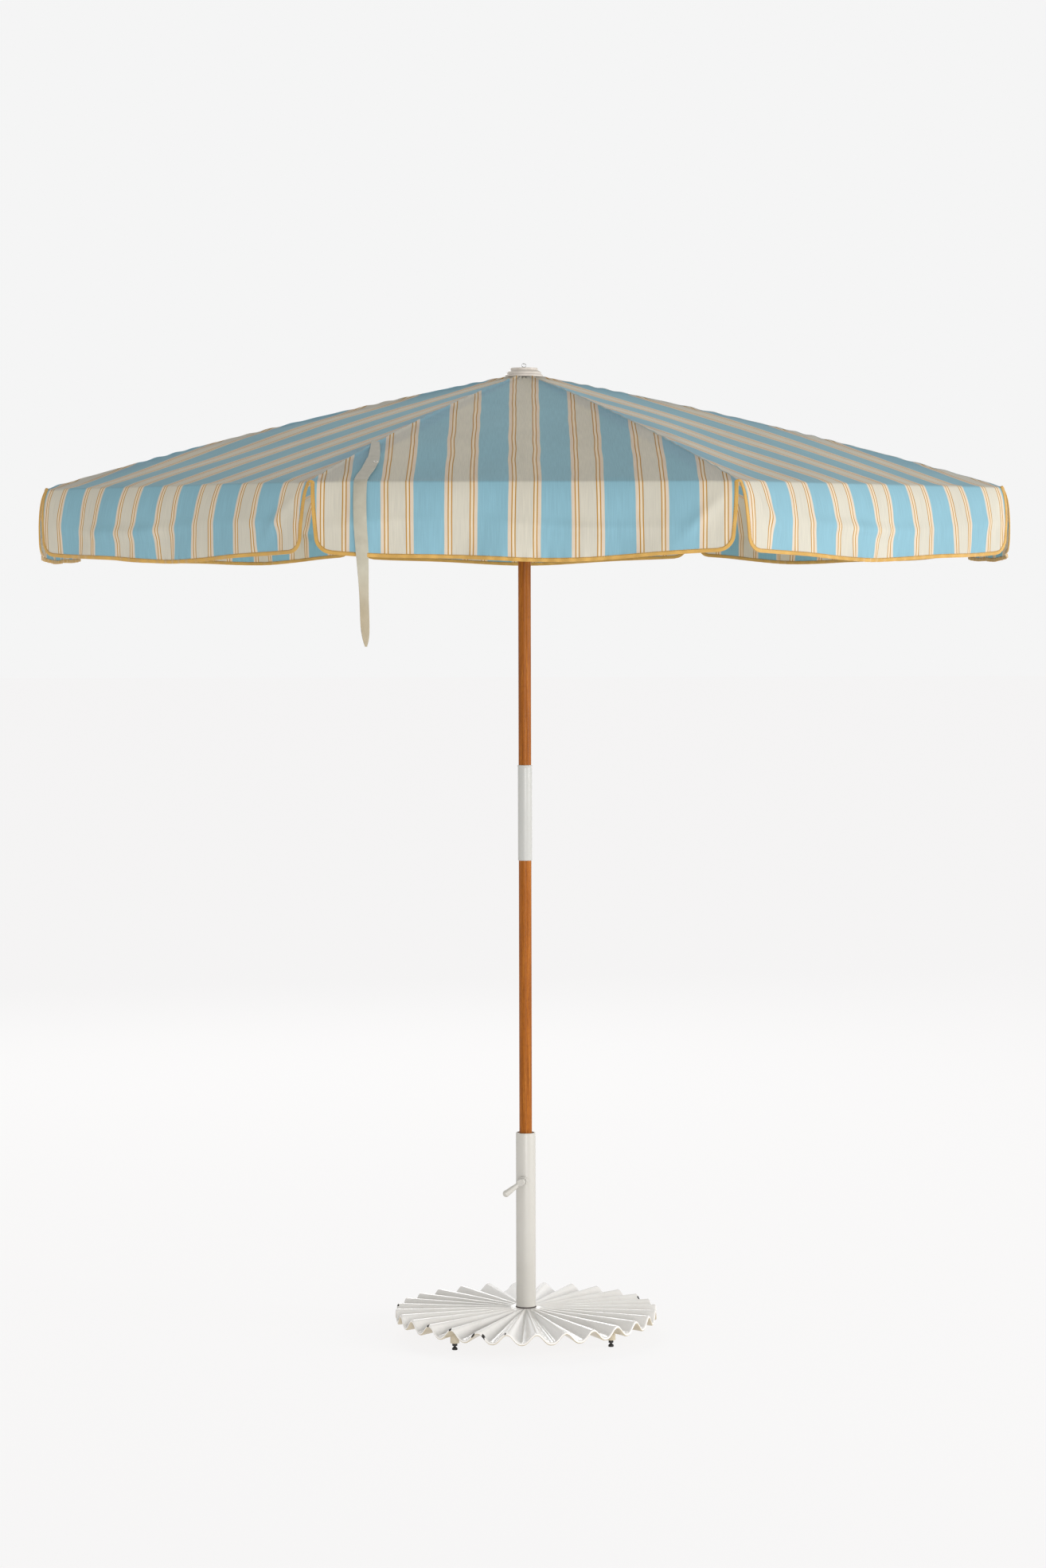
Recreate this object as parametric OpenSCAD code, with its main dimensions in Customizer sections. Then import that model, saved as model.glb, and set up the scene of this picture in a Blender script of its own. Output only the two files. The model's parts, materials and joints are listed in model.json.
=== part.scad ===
// Octagonal beach umbrella: a striped canopy on eight folding ribs, a two-piece wooden pole
// joined by a metal sleeve, and a fluted cast base with a socket tube and a clamp lever.
// Millimetres. +Z is up, the origin is on the ground at the pole's axis, and -Y is the front.

/* [Base] */
// Radius of the fluted base plate at its rim
base_r = 322; // [260:1:380]
// Height of the flutes' crests above the ground
crest_z = 64; // [56:0.5:80]
// Height from a flute's trough to its crest, at the rim
flute_depth = 24; // [12:0.5:26]
// Number of flutes round the plate
flutes = 28; // [20:1:32]
// Turn of the first crest from the front, towards the right
flute_turn = 4.5; // [-6:0.1:6]
// Thickness of the casting at the rim
plate_t = 8; // [6:0.5:12]
// Radius of the circle that the levelling feet stand on
foot_circle_r = 268; // [200:1:300]
// Turn of the first foot from the right-hand side
foot_turn = 50; // [40:0.5:55]

/* [Socket tube] */
// Outside diameter of the socket tube
tube_d = 48.3; // [44:0.1:60]
// Wall of the socket tube
tube_wall = 3.2; // [2:0.1:4]
// Height of the tube's mouth above the ground
tube_top = 497; // [350:1:650]
// Height of the clamp screw above the ground
clamp_z = 381; // [250:1:420]
// Length of the clamp lever's arm
lever_len = 46; // [36:1:70]

/* [Pole] */
// Diameter of the wooden pole
pole_d = 31; // [26:0.1:34]
// Height of the joining sleeve's lower end
sleeve_z = 1168; // [1000:1:1250]
// Length of the joining sleeve
sleeve_len = 234; // [160:1:260]
// Wall of the joining sleeve
sleeve_wall = 1.7; // [1:0.1:3]

/* [Canopy] */
// Distance from the pole's axis to a corner of the canopy
canopy_r = 1200; // [1000:5:1400]
// Height of the canopy's edge above the ground
edge_z = 2064; // [1900:1:2200]
// Slope of the ribs below the horizontal, open
rib_slope = 13.6; // [11:0.1:20]
// Rise of a rib's bow above its chord
rib_bow = 13; // [6:0.5:16]
// Thickness of the cloth solids
cloth_t = 1.6; // [1:0.1:2.4]
// Depth of the valance below the canopy's edge
valance_h = 168; // [120:1:200]
// Radius of the valance's lower corners
valance_corner = 30; // [15:1:45]
// Half the width of the slit at each corner
slit = 6; // [3:0.5:12]
// Height of the edge binding
binding_h = 8; // [5:0.5:12]

/* [Ribs and struts] */
// Width of a rib
rib_w = 8; // [6:0.5:9]
// Height of a rib
rib_h = 12; // [10:0.5:14]
// Wall of the rib tube
rib_wall = 1; // [0.8:0.1:2]
// Distance from the rib's pivot to its strut's pivot, and length of a strut between pivots
strut_len = 450; // [380:1:460]
// Height of a strut bar
strut_h = 8; // [6:0.5:8]
// Radius of the pins that ribs and struts turn on
pin_r = 2; // [1.5:0.1:2.5]
// Radius of the circle that the pivots stand on, on the crown and on the runner
pivot_r = 30; // [28:0.5:36]

/* [Finial and strap] */
// Radius of the finial cap's rim
cap_r = 46; // [42:0.5:56]
// Height of the finial cap
cap_h = 22; // [18:0.5:30]
// Width of the tie strap
strap_w = 28; // [20:1:40]
// Length of the tie strap that hangs below the canopy's edge
strap_drop = 350; // [200:5:450]

/* [Hidden] */
$fn = 64;
ribs = 8;
sector = 360 / ribs;
half_cos = cos(sector / 2);
first_rib_turn = 270 - sector / 2;
first_crest = 270 + flute_turn;

run_gap = 0.05;      // radial clearance of a part that turns on a pin
slide_gap = 0.4;     // radial clearance of the runner on the pole
cloth_gap = 1;       // clearance between a rib and the cloth above it
seam_gap = 0.25;     // half the clearance between two cloth solids

pole_r = pole_d / 2;
tube_r = tube_d / 2;
tube_ri = tube_r - tube_wall;

// Centreline of a rib: its chord starts at the crown's pivot and ends at the rib's tip.
rib_end_r = canopy_r - 12;
rib_top = rib_h / 2;
rib_chord = (rib_end_r - pivot_r) / cos(rib_slope);
cloth_rise = (rib_top + cloth_gap) / cos(rib_slope);
pivot_z = edge_z - cloth_rise + (canopy_r - pivot_r) * tan(rib_slope);
arc_r = (rib_chord * rib_chord / 4 + rib_bow * rib_bow) / (2 * rib_bow);
arc_half = asin(rib_chord / 2 / arc_r);

// The strut's pivot on a rib lies on the rib's chord, below the bowed bar.
function bow_at(x) = sqrt(arc_r * arc_r - pow(x - rib_chord / 2, 2)) - (arc_r - rib_bow);
yoke_w = 10;
yoke_t = 2;
strut_w = rib_w - 0.4;
runner_z = pivot_z - 2 * strut_len * sin(rib_slope);

// Crown and runner share their slots and pins.
slot_w = rib_w + 2;
hub_bore_r = pole_r;
hub_r = pivot_r + 6;
slot_floor_r = pivot_r - 9;
pin_len = slot_w + 7;
crown_top = pivot_z + 4;
crown_h = 28;
runner_up = 10;
runner_flange_h = 20;
runner_neck_h = 26;
runner_neck_r = pole_r + 6.5;
knob_turn = first_rib_turn + sector / 2;
knob_z = runner_z - runner_up - 13;
knob_screw_r = 3;
knob_r = 11;
knob_h = 12;

cap_wall = 3;
cap_plate_t = 4;
cap_plate_r = 33.5;
cap_base_z = cloth_z((cap_r - cap_wall) * half_cos) + cloth_t + 0.5;
pole_top = cap_base_z + cap_h - cap_plate_t - cap_wall;
eye_wire_r = 1.1;
eye_out_r = 5.7;
eye_stud_r = 3;

joint_z = sleeve_z + sleeve_len / 2;
sleeve_gap = 0.1;     // radial clearance of the poles in the sleeve
sleeve_r = pole_r + sleeve_gap + sleeve_wall;
screw_r = 1.8;
screw_bite = 9;
screw_head_r = 3.4;
screw_head_h = 1.4;
screw_heights = [sleeve_z + 18, sleeve_z + 62];
gasket_t = 2;
gasket_lip = 1.2;     // how far the gasket shows round the tube
tube_foot = crest_z + gasket_t;
plug_h = 22;
bush_h = 70;
bush_drop = 3;
bush_gap = 0.25;
anchor_r = 8;
anchor_head_r = 13.5;
anchor_head_h = 9;
washer_r = 24;
washer_t = 3;
plate_bore = anchor_r + 0.6;
hub_flat_r = 30;

clamp_turn = 270 - 13;
clamp_r = 5;
boss_r = 11;
boss_out = tube_r + 15;
pad_t = 3;
pad_in = pole_r + 0.2;
pad_r = 5.2;
lever_hub_r = 8.5;
lever_hub_len = 17;
lever_root_r = 4.6;
lever_ball_r = 8.4;
lever_drop = 128;     // direction of the lever's arm round the screw, from straight up
lever_rake = 20;      // tilt of the lever's arm away from the tube

foot_stud_r = 3;
foot_pad_r = 7;
foot_pad_h = 6;
foot_nut_z = 10;
foot_nut_h = 6;
foot_nut_r = 6.4;
lug_r = 11;
lug_z = 17;
lug_bite = 3;        // depth that a lug's top reaches into the plate
feet = 4;

edge_d = canopy_r * half_cos;
half_edge = canopy_r * sin(sector / 2);

// ---------- Base ----------

// Share of the flute's height at an angle: 0 in a trough, 1 on a crest.
function flute_wave(a) = pow(0.5 + 0.5 * cos(flutes * a), 1.25);

// Fall of the trough below the crest at a radius.
function flute_fall(r) = flute_depth * pow(max(0, (r - hub_flat_r) / (base_r - hub_flat_r)), 0.85);

function plate_top(r, a) = crest_z - flute_fall(r) * (1 - flute_wave(a));
function plate_wall(r) = plate_t + 5 * max(0, 1 - r / (base_r * 0.45));

plate_shares = [0.24, 0.42, 0.62, 0.82, 1];
plate_rings = concat([plate_bore, hub_flat_r], base_r * plate_shares);
wave_steps = 6;
plate_steps = flutes * wave_steps;

function ring_points(drop) = [for (r = plate_rings, i = [0:plate_steps - 1])
    let (a = i * 360 / plate_steps)
    [r * cos(a), r * sin(a), plate_top(r, a) - (drop ? plate_wall(r) : 0)]];

function quad(a, b, c, d) = [[a, b, c], [a, c, d]];

// The fluted plate is one closed grid: its top, its underside, the rim and the centre hole.
module base_casting() {
    n = plate_steps;
    m = len(plate_rings);
    low = n * m;
    faces = [for (j = [0:m - 2], i = [0:n - 1])
        let (k = (i + 1) % n, a = j * n + i, b = j * n + k, c = (j + 1) * n + k, d = (j + 1) * n + i)
        each concat(quad(a, b, c, d), quad(low + d, low + c, low + b, low + a))];
    walls = [for (i = [0:n - 1]) let (k = (i + 1) % n, o = (m - 1) * n)
        each concat(quad(k, i, low + i, low + k), quad(o + i, o + k, low + o + k, low + o + i))];
    color("whitesmoke") rotate(first_crest) polyhedron(concat(ring_points(false), ring_points(true)),
        concat(faces, walls), convexity = 8);
}

function foot_angle(i) = foot_turn + i * 360 / feet;

// Height of the plate's underside above a foot.
function under_plate(i) =
    plate_top(foot_circle_r, foot_angle(i) - first_crest) - plate_wall(foot_circle_r);

module at_foot(i) {
    rotate(foot_angle(i)) translate([foot_circle_r, 0, 0]) children();
}

// Cast lugs that the feet screw into; their tops run into the plate's underside.
module foot_lugs() {
    color("whitesmoke") for (i = [0:feet - 1]) at_foot(i) difference() {
        translate([0, 0, lug_z]) cylinder(r = lug_r, h = under_plate(i) + lug_bite - lug_z);
        translate([0, 0, lug_z - 1]) cylinder(r = foot_stud_r + run_gap, h = under_plate(i) - lug_z - 1);
    }
}

// A levelling foot: pad, neck, hexagon and threaded stud, turned as one piece.
module foot(i) {
    stud_top = under_plate(i) - 4;
    color("#1b1a19") at_foot(i) {
        rotate_extrude() polygon([[0, 0], [foot_pad_r - 1, 0], [foot_pad_r, 1.5],
            [foot_pad_r - 1, foot_pad_h - 1], [foot_stud_r, foot_pad_h + 1],
            [foot_stud_r, stud_top], [0, stud_top]]);
        difference() {
            translate([0, 0, foot_nut_z]) cylinder(r = foot_nut_r, h = foot_nut_h, $fn = 6);
            translate([0, 0, foot_nut_z - 1]) cylinder(r = foot_stud_r, h = foot_nut_h + 2);
        }
    }
}

module ring(ro, ri, h) {
    difference() {
        cylinder(r = ro, h = h);
        translate([0, 0, -1]) cylinder(r = ri, h = h + 2);
    }
}

// Turns a piece so that its own Z axis runs outwards along the clamp screw.
module on_clamp_axis() {
    translate([0, 0, clamp_z]) rotate([0, 0, clamp_turn]) rotate([0, 90, 0]) children();
}

module base_tube() {
    color("ivory") difference() {
        translate([0, 0, tube_foot]) ring(tube_r, tube_ri, tube_top - tube_foot);
        on_clamp_axis() cylinder(r = clamp_r + 0.5, h = tube_r + 5);
    }
}

// Round plug pressed into the tube's foot: the pole stands on it and the anchor bolt pulls on it.
module tube_plug() {
    color("gray") translate([0, 0, tube_foot]) ring(tube_ri, anchor_r, plug_h);
}

module tube_gasket() {
    color("#3a2f2a") translate([0, 0, crest_z]) ring(tube_r + gasket_lip, plate_bore, gasket_t);
}

// Bolt and washer that hold the tube on the plate, from below.
module anchor_bolt() {
    seat = crest_z - plate_wall(plate_bore) - washer_t;
    bolt_top = tube_foot + plug_h - 4;
    color("silver") {
        translate([0, 0, seat]) ring(washer_r, anchor_r, washer_t);
        translate([0, 0, seat - anchor_head_h]) cylinder(r = anchor_head_r, h = anchor_head_h, $fn = 6);
        translate([0, 0, seat]) cylinder(r = anchor_r, h = bolt_top - seat);
    }
}

// Threaded boss welded on the tube.
module clamp_boss() {
    color("ivory") difference() {
        on_clamp_axis() cylinder(r = boss_r, h = boss_out);
        cylinder(r = tube_r, h = clamp_z + 100);
        on_clamp_axis() cylinder(r = clamp_r + run_gap, h = boss_out + 1);
    }
}

module clamp_pad() {
    color("dimgray") on_clamp_axis() translate([0, 0, pad_in]) cylinder(r = pad_r, h = pad_t);
}

// Clamp screw with its hub and a tapered arm that ends in a ball.
module clamp_lever() {
    hub_z = boss_out + 3;
    color("ivory") on_clamp_axis() {
        translate([0, 0, pad_in + pad_t]) cylinder(r = clamp_r, h = hub_z - pad_in - pad_t);
        translate([0, 0, hub_z]) cylinder(r = lever_hub_r, h = lever_hub_len);
        translate([0, 0, hub_z + lever_hub_len / 2])
            rotate([0, 0, 180 + lever_drop]) rotate([0, 90 - lever_rake, 0]) {
                cylinder(r1 = lever_root_r, r2 = lever_ball_r, h = lever_len, $fn = 48);
                translate([0, 0, lever_len]) sphere(r = lever_ball_r, $fn = 48);
            }
    }
}

// ---------- Pole ----------

// Plastic reducer in the tube's mouth that centres the pole.
module pole_bush() {
    color("#2b2724") translate([0, 0, tube_top - bush_drop - bush_h])
        ring(tube_ri - bush_gap, pole_r + bush_gap, bush_h);
}

module lower_pole() {
    foot_z = tube_foot + plug_h;
    chamfer = 4;
    color("peru") difference() {
        rotate_extrude() polygon([[0, foot_z], [pole_r - chamfer, foot_z], [pole_r, foot_z + chamfer],
            [pole_r, joint_z], [0, joint_z]]);
        at_sleeve_screws() cylinder(r = screw_r, h = screw_bite);
    }
}

// Two screws hold the sleeve on the lower pole, one above the other.
module at_sleeve_screws() {
    for (z = screw_heights) translate([0, 0, z])
        rotate([0, 0, 90]) rotate([0, 90, 0]) translate([0, 0, pole_r - screw_bite]) children();
}

module pole_sleeve() {
    color("white") difference() {
        translate([0, 0, sleeve_z]) ring(sleeve_r, pole_r + sleeve_gap, sleeve_len);
        at_sleeve_screws() cylinder(r = screw_r, h = screw_bite * 2);
    }
}

module sleeve_screws() {
    head_at = screw_bite + sleeve_gap + sleeve_wall + 0.2;
    color("silver") at_sleeve_screws() {
        cylinder(r = screw_r, h = head_at);
        translate([0, 0, head_at])
            cylinder(r1 = screw_head_r, r2 = screw_head_r - 1, h = screw_head_h, $fn = 32);
    }
}

module upper_pole() {
    color("peru") difference() {
        translate([0, 0, joint_z]) cylinder(r = pole_r, h = pole_top - joint_z);
        translate([0, 0, pole_top - 40]) cylinder(r = eye_stud_r, h = 50);
    }
}

// ---------- Crown, finial and runner ----------

module at_ribs() {
    for (i = [0:ribs - 1]) rotate(first_rib_turn + i * sector) children();
}

module on_rib(k) {
    rotate(first_rib_turn + (k - 1) * sector) children();
}

// Slots for the eyes, and the holes that their pins are pressed into.
module slots_and_pins(z, low, high) {
    at_ribs() {
        translate([slot_floor_r, -slot_w / 2, low]) cube([hub_r, slot_w, high - low]);
        translate([pivot_r, pin_len / 2, z]) rotate([90, 0, 0]) cylinder(r = pin_r, h = pin_len);
    }
}

module crown() {
    color("gainsboro") difference() {
        translate([0, 0, crown_top - crown_h]) ring(hub_r, hub_bore_r, crown_h);
        slots_and_pins(pivot_z, crown_top - crown_h - 1, crown_top + 1);
    }
}

module pivot_pins(z) {
    at_ribs() translate([pivot_r, pin_len / 2, z]) rotate([90, 0, 0]) cylinder(r = pin_r, h = pin_len);
}

module crown_pins() {
    color("silver") pivot_pins(pivot_z);
}

// Turned cap: a rim, a sloping shoulder and a round top plate, hollow below.
module finial_cap() {
    shoulder = cap_h - cap_plate_t;
    color("#cfcabf") translate([0, 0, cap_base_z]) difference() {
        rotate_extrude() polygon([[0, 0], [cap_r, 0], [cap_r, 4.5], [cap_r - 5, 6], [cap_r - 6.5, 9],
            [cap_plate_r + 1, shoulder - 2], [cap_plate_r - 0.5, shoulder], [cap_plate_r, shoulder],
            [cap_plate_r, cap_h], [0, cap_h]]);
        rotate_extrude() polygon([[0, -1], [cap_r - cap_wall, -1], [cap_r - cap_wall, 3],
            [cap_plate_r - 2, shoulder - cap_wall], [0, shoulder - cap_wall]]);
        cylinder(r = eye_stud_r, h = cap_h * 2);
    }
}

// Wire eye on a threaded stud that goes through the cap into the pole.
module finial_eye() {
    stud_top = cap_base_z + cap_h;
    mid_r = eye_out_r - eye_wire_r;
    color("silver") {
        translate([0, 0, pole_top - 38]) cylinder(r = eye_stud_r, h = stud_top + 1.5 - pole_top + 38);
        translate([0, 0, stud_top + 1.5 + mid_r]) rotate([90, 0, 0])
            rotate_extrude() translate([mid_r, 0]) circle(r = eye_wire_r, $fn = 24);
    }
}

module runner() {
    top = runner_z + runner_up;
    flange = top - runner_flange_h;
    bottom = flange - runner_neck_h;
    color("gainsboro") difference() {
        union() {
            translate([0, 0, flange]) cylinder(r = hub_r, h = runner_flange_h);
            translate([0, 0, bottom]) cylinder(r = runner_neck_r, h = runner_neck_h);
        }
        translate([0, 0, bottom - 1]) cylinder(r = pole_r + slide_gap, h = top - bottom + 2);
        slots_and_pins(runner_z, flange + 3, top + 1);
        on_knob_axis() cylinder(r = knob_screw_r + run_gap, h = hub_r);
    }
}

module runner_pins() {
    color("silver") pivot_pins(runner_z);
}

module on_knob_axis() {
    translate([0, 0, knob_z]) rotate([0, 0, knob_turn]) rotate([0, 90, 0]) children();
}

// Thumb screw that clamps the runner on the pole.
module runner_knob() {
    neck = runner_neck_r + 1;
    tip = pole_r + 0.2;
    scallops = 6;
    scallop_r = 4;
    color("#3c3c3c") on_knob_axis() {
        translate([0, 0, tip]) cylinder(r = knob_screw_r, h = neck - tip);
        translate([0, 0, neck]) difference() {
            cylinder(r = knob_r, h = knob_h);
            for (i = [0:scallops - 1]) rotate(i * 360 / scallops)
                translate([knob_r + 2, 0, -1]) cylinder(r = scallop_r, h = knob_h + 2, $fn = 32);
        }
    }
}

// ---------- Ribs and struts ----------

// Point on the rib's arc at a share of its length, raised along the arc's radius.
function arc_point(share, up) = let (a = (2 * share - 1) * arc_half)
    [rib_chord / 2 + (arc_r + up) * sin(a), (arc_r + up) * cos(a) - arc_r + rib_bow];

// A bar along the rib's arc, from one share of the arc to another, in short straight lengths.
module arc_bar(from, to, w, h) {
    n = ceil((to - from) / 0.05);
    shares = [for (i = [0:n]) from + (to - from) * i / n];
    rotate([90, 0, 0]) linear_extrude(w, center = true)
        polygon(concat([for (s = shares) arc_point(s, h / 2)],
            [for (i = [n:-1:0]) arc_point(shares[i], -h / 2)]));
}

module on_chord() {
    translate([pivot_r, 0, pivot_z]) rotate([0, rib_slope, 0]) children();
}

// A rib: root fitting with its eye, tube, tip cap, and the yoke and rivet that carry the strut.
module rib(k) {
    drop = bow_at(strut_len);
    root_end = 0.03;
    tenon_end = 0.045;
    tip_start = 0.985;
    inner_w = rib_w - 2 * rib_wall;
    inner_h = rib_h - 2 * rib_wall;
    color("white") on_rib(k) on_chord() {
        difference() {
            union() {
                rotate([90, 0, 0]) cylinder(r = rib_top - 0.5, h = rib_w, center = true);
                arc_bar(0, root_end, rib_w, rib_h);
            }
            rotate([90, 0, 0]) cylinder(r = pin_r + run_gap, h = rib_w * 2, center = true);
        }
        difference() {
            arc_bar(root_end, tip_start, rib_w, rib_h);
            arc_bar(tenon_end, tip_start - 0.005, inner_w, inner_h);
        }
        arc_bar(tip_start, 1, rib_w + 1, rib_h + 0.5);
        for (side = [-1, 1]) translate([strut_len, side * (rib_w + yoke_t) / 2, 0]) rotate([90, 0, 0])
            linear_extrude(yoke_t, center = true) union() {
                circle(r = yoke_w / 2);
                translate([-yoke_w / 2, 0]) square([yoke_w, drop + rib_top - 2]);
            }
        translate([strut_len, 0, 0]) rotate([90, 0, 0])
            cylinder(r = pin_r, h = rib_w + 2 * yoke_t + 2, center = true);
    }
}

// A strut: a bar with an eye at each end, from the rib's yoke down to the runner.
module strut(k) {
    eye_r = 4.5;
    color("white") on_rib(k) translate([pivot_r, 0, runner_z]) rotate([0, -rib_slope, 0]) difference() {
        union() {
            translate([0, -strut_w / 2, -strut_h / 2]) cube([strut_len, strut_w, strut_h]);
            for (x = [0, strut_len]) translate([x, 0, 0]) rotate([90, 0, 0])
                cylinder(r = eye_r, h = strut_w, center = true);
        }
        for (x = [0, strut_len]) translate([x, 0, 0]) rotate([90, 0, 0])
            cylinder(r = pin_r + run_gap, h = strut_w * 2, center = true);
    }
}

// ---------- Canopy ----------

// Height of the cloth's underside above the ground, at a distance from the axis towards a panel's
// middle: the ribs' straight slope, and their bow on it.
function cloth_z(d) = let (r = d / half_cos, x = (r - pivot_r) / cos(rib_slope))
    pivot_z + cloth_rise - (r - pivot_r) * tan(rib_slope)
    + max(0, bow_at(min(x, rib_chord))) / cos(rib_slope);

gore_rings = 9;
binding_lift = 0.8;   // how far the binding stands out from the cloth
gore_start = (pivot_r + 4) * half_cos;

// One gore is the cloth on both sides of a rib, out to the middles of its two panels.
// Its rows run parallel to the panels' edges: middle, ridge, middle.
module canopy_gore(k) {
    d_end = edge_d - 0.5;
    rows = [for (j = [0:gore_rings - 1]) gore_start + (d_end - gore_start) * j / (gore_rings - 1)];
    function row(d, up) = let (z = cloth_z(d) + up, c = cos(sector / 2), s = sin(sector / 2)) [
        [d * c + seam_gap * s, -d * s + seam_gap * c, z],
        [d / half_cos, 0, z],
        [d * c + seam_gap * s, d * s - seam_gap * c, z]];
    n = 3;
    low = [for (d = rows) each row(d, 0)];
    high = [for (d = rows) each row(d, cloth_t)];
    o = len(low);
    m = gore_rings;
    skins = [for (j = [0:m - 2], i = [0:1]) let (a = j * n + i, b = a + 1, c = a + n + 1, d = a + n)
        each concat(quad(a, b, c, d), quad(o + d, o + c, o + b, o + a))];
    sides = [for (j = [0:m - 2], i = [0, 2]) let (a = j * n + i, d = a + n)
        each (i == 0 ? quad(a, d, o + d, o + a) : quad(d, a, o + a, o + d))];
    ends = [for (i = [0:1]) let (a = i, b = i + 1, e = (m - 1) * n)
        each concat(quad(b, a, o + a, o + b), quad(e + a, e + b, o + e + b, o + e + a))];
    color("lightblue") on_rib(k) polyhedron(concat(low, high), concat(skins, sides, ends), convexity = 6);
}

// Outline of a flap: straight sides, and lower corners with a radius. Its top is at y = 0.
module flap_outline(half, h, corner) {
    translate([-half, -h + corner]) square([2 * half, h - corner]);
    translate([-half + corner, -h]) square([2 * half - 2 * corner, corner + 0.01]);
    for (x = [-half + corner, half - corner]) translate([x, -h + corner]) circle(r = corner);
}

// A valance flap: the cloth, and the binding that edges its two sides and its foot.
module valance(k) {
    half = half_edge - slit;
    b = binding_h;
    on_rib(k) rotate([0, 0, sector / 2]) translate([edge_d + 0.1, 0, edge_z]) rotate([90, 0, 90]) {
        color("lightblue") linear_extrude(cloth_t)
            flap_outline(half - b, valance_h - b, valance_corner - b);
        color("goldenrod") linear_extrude(cloth_t + binding_lift) difference() {
            flap_outline(half, valance_h, valance_corner);
            flap_outline(half - b, valance_h - b, valance_corner - b);
        }
    }
}

// ---------- Tie strap ----------

strap_t = 1.5;
strap_start_d = 795;
strap_side = 338;
strap_lift = cloth_t + 0.5;
strap_steps = 6;
strap_front = edge_d + cloth_t + 2;

// The part that lies on the front panel, from the seam to the canopy's edge.
module strap_upper() {
    span = edge_d - strap_start_d;
    over = [for (i = [0:strap_steps]) let (d = strap_start_d + span * i / strap_steps)
        [-d, cloth_z(d) + strap_lift]];
    top = concat(over, [[-strap_front, edge_z + strap_lift]]);
    translate([-strap_side, 0, 0]) color("oldlace") rotate([90, 0, 90])
        translate([0, 0, -strap_w / 2]) linear_extrude(strap_w)
        polygon(concat(top, [for (i = [len(top) - 1:-1:0]) top[i] + [0, strap_t]]));
}

// The part that hangs in front of the valance.
module strap_lower() {
    color("oldlace") translate([-strap_side - strap_w / 2, -strap_front - strap_t, edge_z - strap_drop])
        cube([strap_w, strap_t, strap_drop + strap_lift + 1]);
}

// ---------- Nodes ----------

base_casting();
foot_lugs();
base_tube();
tube_plug();
tube_gasket();
anchor_bolt();
clamp_boss();
clamp_pad();
clamp_lever();
for (i = [1:feet]) foot(i - 1);
pole_bush();
lower_pole();
pole_sleeve();
sleeve_screws();
upper_pole();
crown();
crown_pins();
finial_cap();
finial_eye();
runner();
runner_pins();
runner_knob();
for (k = [1:ribs]) rib(k);
for (k = [1:ribs]) strut(k);
for (k = [1:ribs]) canopy_gore(k);
for (k = [1:ribs]) valance(k);
strap_upper();
strap_lower();
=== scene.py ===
import json

import bpy
import numpy as np
from mathutils import Euler, Matrix, Vector


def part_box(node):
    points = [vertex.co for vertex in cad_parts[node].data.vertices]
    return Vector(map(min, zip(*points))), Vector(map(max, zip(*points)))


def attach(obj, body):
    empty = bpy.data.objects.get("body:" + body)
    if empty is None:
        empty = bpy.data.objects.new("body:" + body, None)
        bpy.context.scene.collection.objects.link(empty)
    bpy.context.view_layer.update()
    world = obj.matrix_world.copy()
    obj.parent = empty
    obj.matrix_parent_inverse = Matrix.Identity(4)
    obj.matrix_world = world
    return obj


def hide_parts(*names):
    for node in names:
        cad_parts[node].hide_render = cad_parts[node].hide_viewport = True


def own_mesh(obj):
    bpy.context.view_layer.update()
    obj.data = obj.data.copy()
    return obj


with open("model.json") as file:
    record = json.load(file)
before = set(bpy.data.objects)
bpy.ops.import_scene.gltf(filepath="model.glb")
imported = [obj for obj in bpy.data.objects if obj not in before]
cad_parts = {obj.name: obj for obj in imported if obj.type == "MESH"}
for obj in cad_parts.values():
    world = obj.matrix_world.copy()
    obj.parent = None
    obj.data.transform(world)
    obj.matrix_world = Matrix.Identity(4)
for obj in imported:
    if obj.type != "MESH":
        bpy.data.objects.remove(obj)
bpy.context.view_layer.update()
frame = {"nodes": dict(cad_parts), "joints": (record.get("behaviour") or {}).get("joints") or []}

# ---------------------------------------------------------------- View and studio
# A long lens at a standing eye's height, nine metres in front, tilted a little down.
# The studio is a pale seamless floor that glows a little, white walls that are brightest
# near the floor, with large soft lights low on the right, low in front and high behind.

EYE = Vector((-0.0047, -9.0, 1.86))
TILT_DOWN = np.radians(3.21)
ROLL = np.radians(-0.13)

lens = bpy.data.cameras.new("long_lens")
lens.lens = 84.55
lens.sensor_width = 36
lens.clip_end = 200
camera = bpy.data.objects.new("camera", lens)
camera.matrix_world = (Matrix.Translation(EYE) @ Euler((np.pi / 2 - TILT_DOWN, 0, 0)).to_matrix().to_4x4()
                       @ Matrix.Rotation(ROLL, 4, "Z"))
bpy.context.scene.collection.objects.link(camera)
bpy.context.scene.camera = camera
bpy.context.scene.view_settings.view_transform = "Standard"


def linear(code, alpha=1.0):
    """The linear colour of an sRGB hex code such as "A0B0C0"."""
    c = np.array([int(code[i:i + 2], 16) for i in (0, 2, 4)]) / 255
    c = np.where(c <= 0.04045, c / 12.92, ((c + 0.055) / 1.055) ** 2.4)
    return (*c.tolist(), alpha)


def add(tree, kind, sockets=None, **settings):
    """Adds one node to a tree. settings are the node's own; sockets maps an input to a value, or to
    the output that feeds it."""
    node = tree.nodes.new("ShaderNode" + kind)
    for name, value in settings.items():
        setattr(node, name, value)
    for name, value in (sockets or {}).items():
        if isinstance(value, bpy.types.NodeSocket):
            tree.links.new(value, node.inputs[name])
        else:
            node.inputs[name].default_value = value
    return node


def blank(name, constants):
    """A new material, with its tree and its shader. constants are set on the shader's own
    sockets."""
    material = bpy.data.materials.new(name)
    material.use_nodes = True
    shader = material.node_tree.nodes["Principled BSDF"]
    for socket, value in constants.items():
        shader.inputs[socket].default_value = value
    return material, material.node_tree, shader


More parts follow.
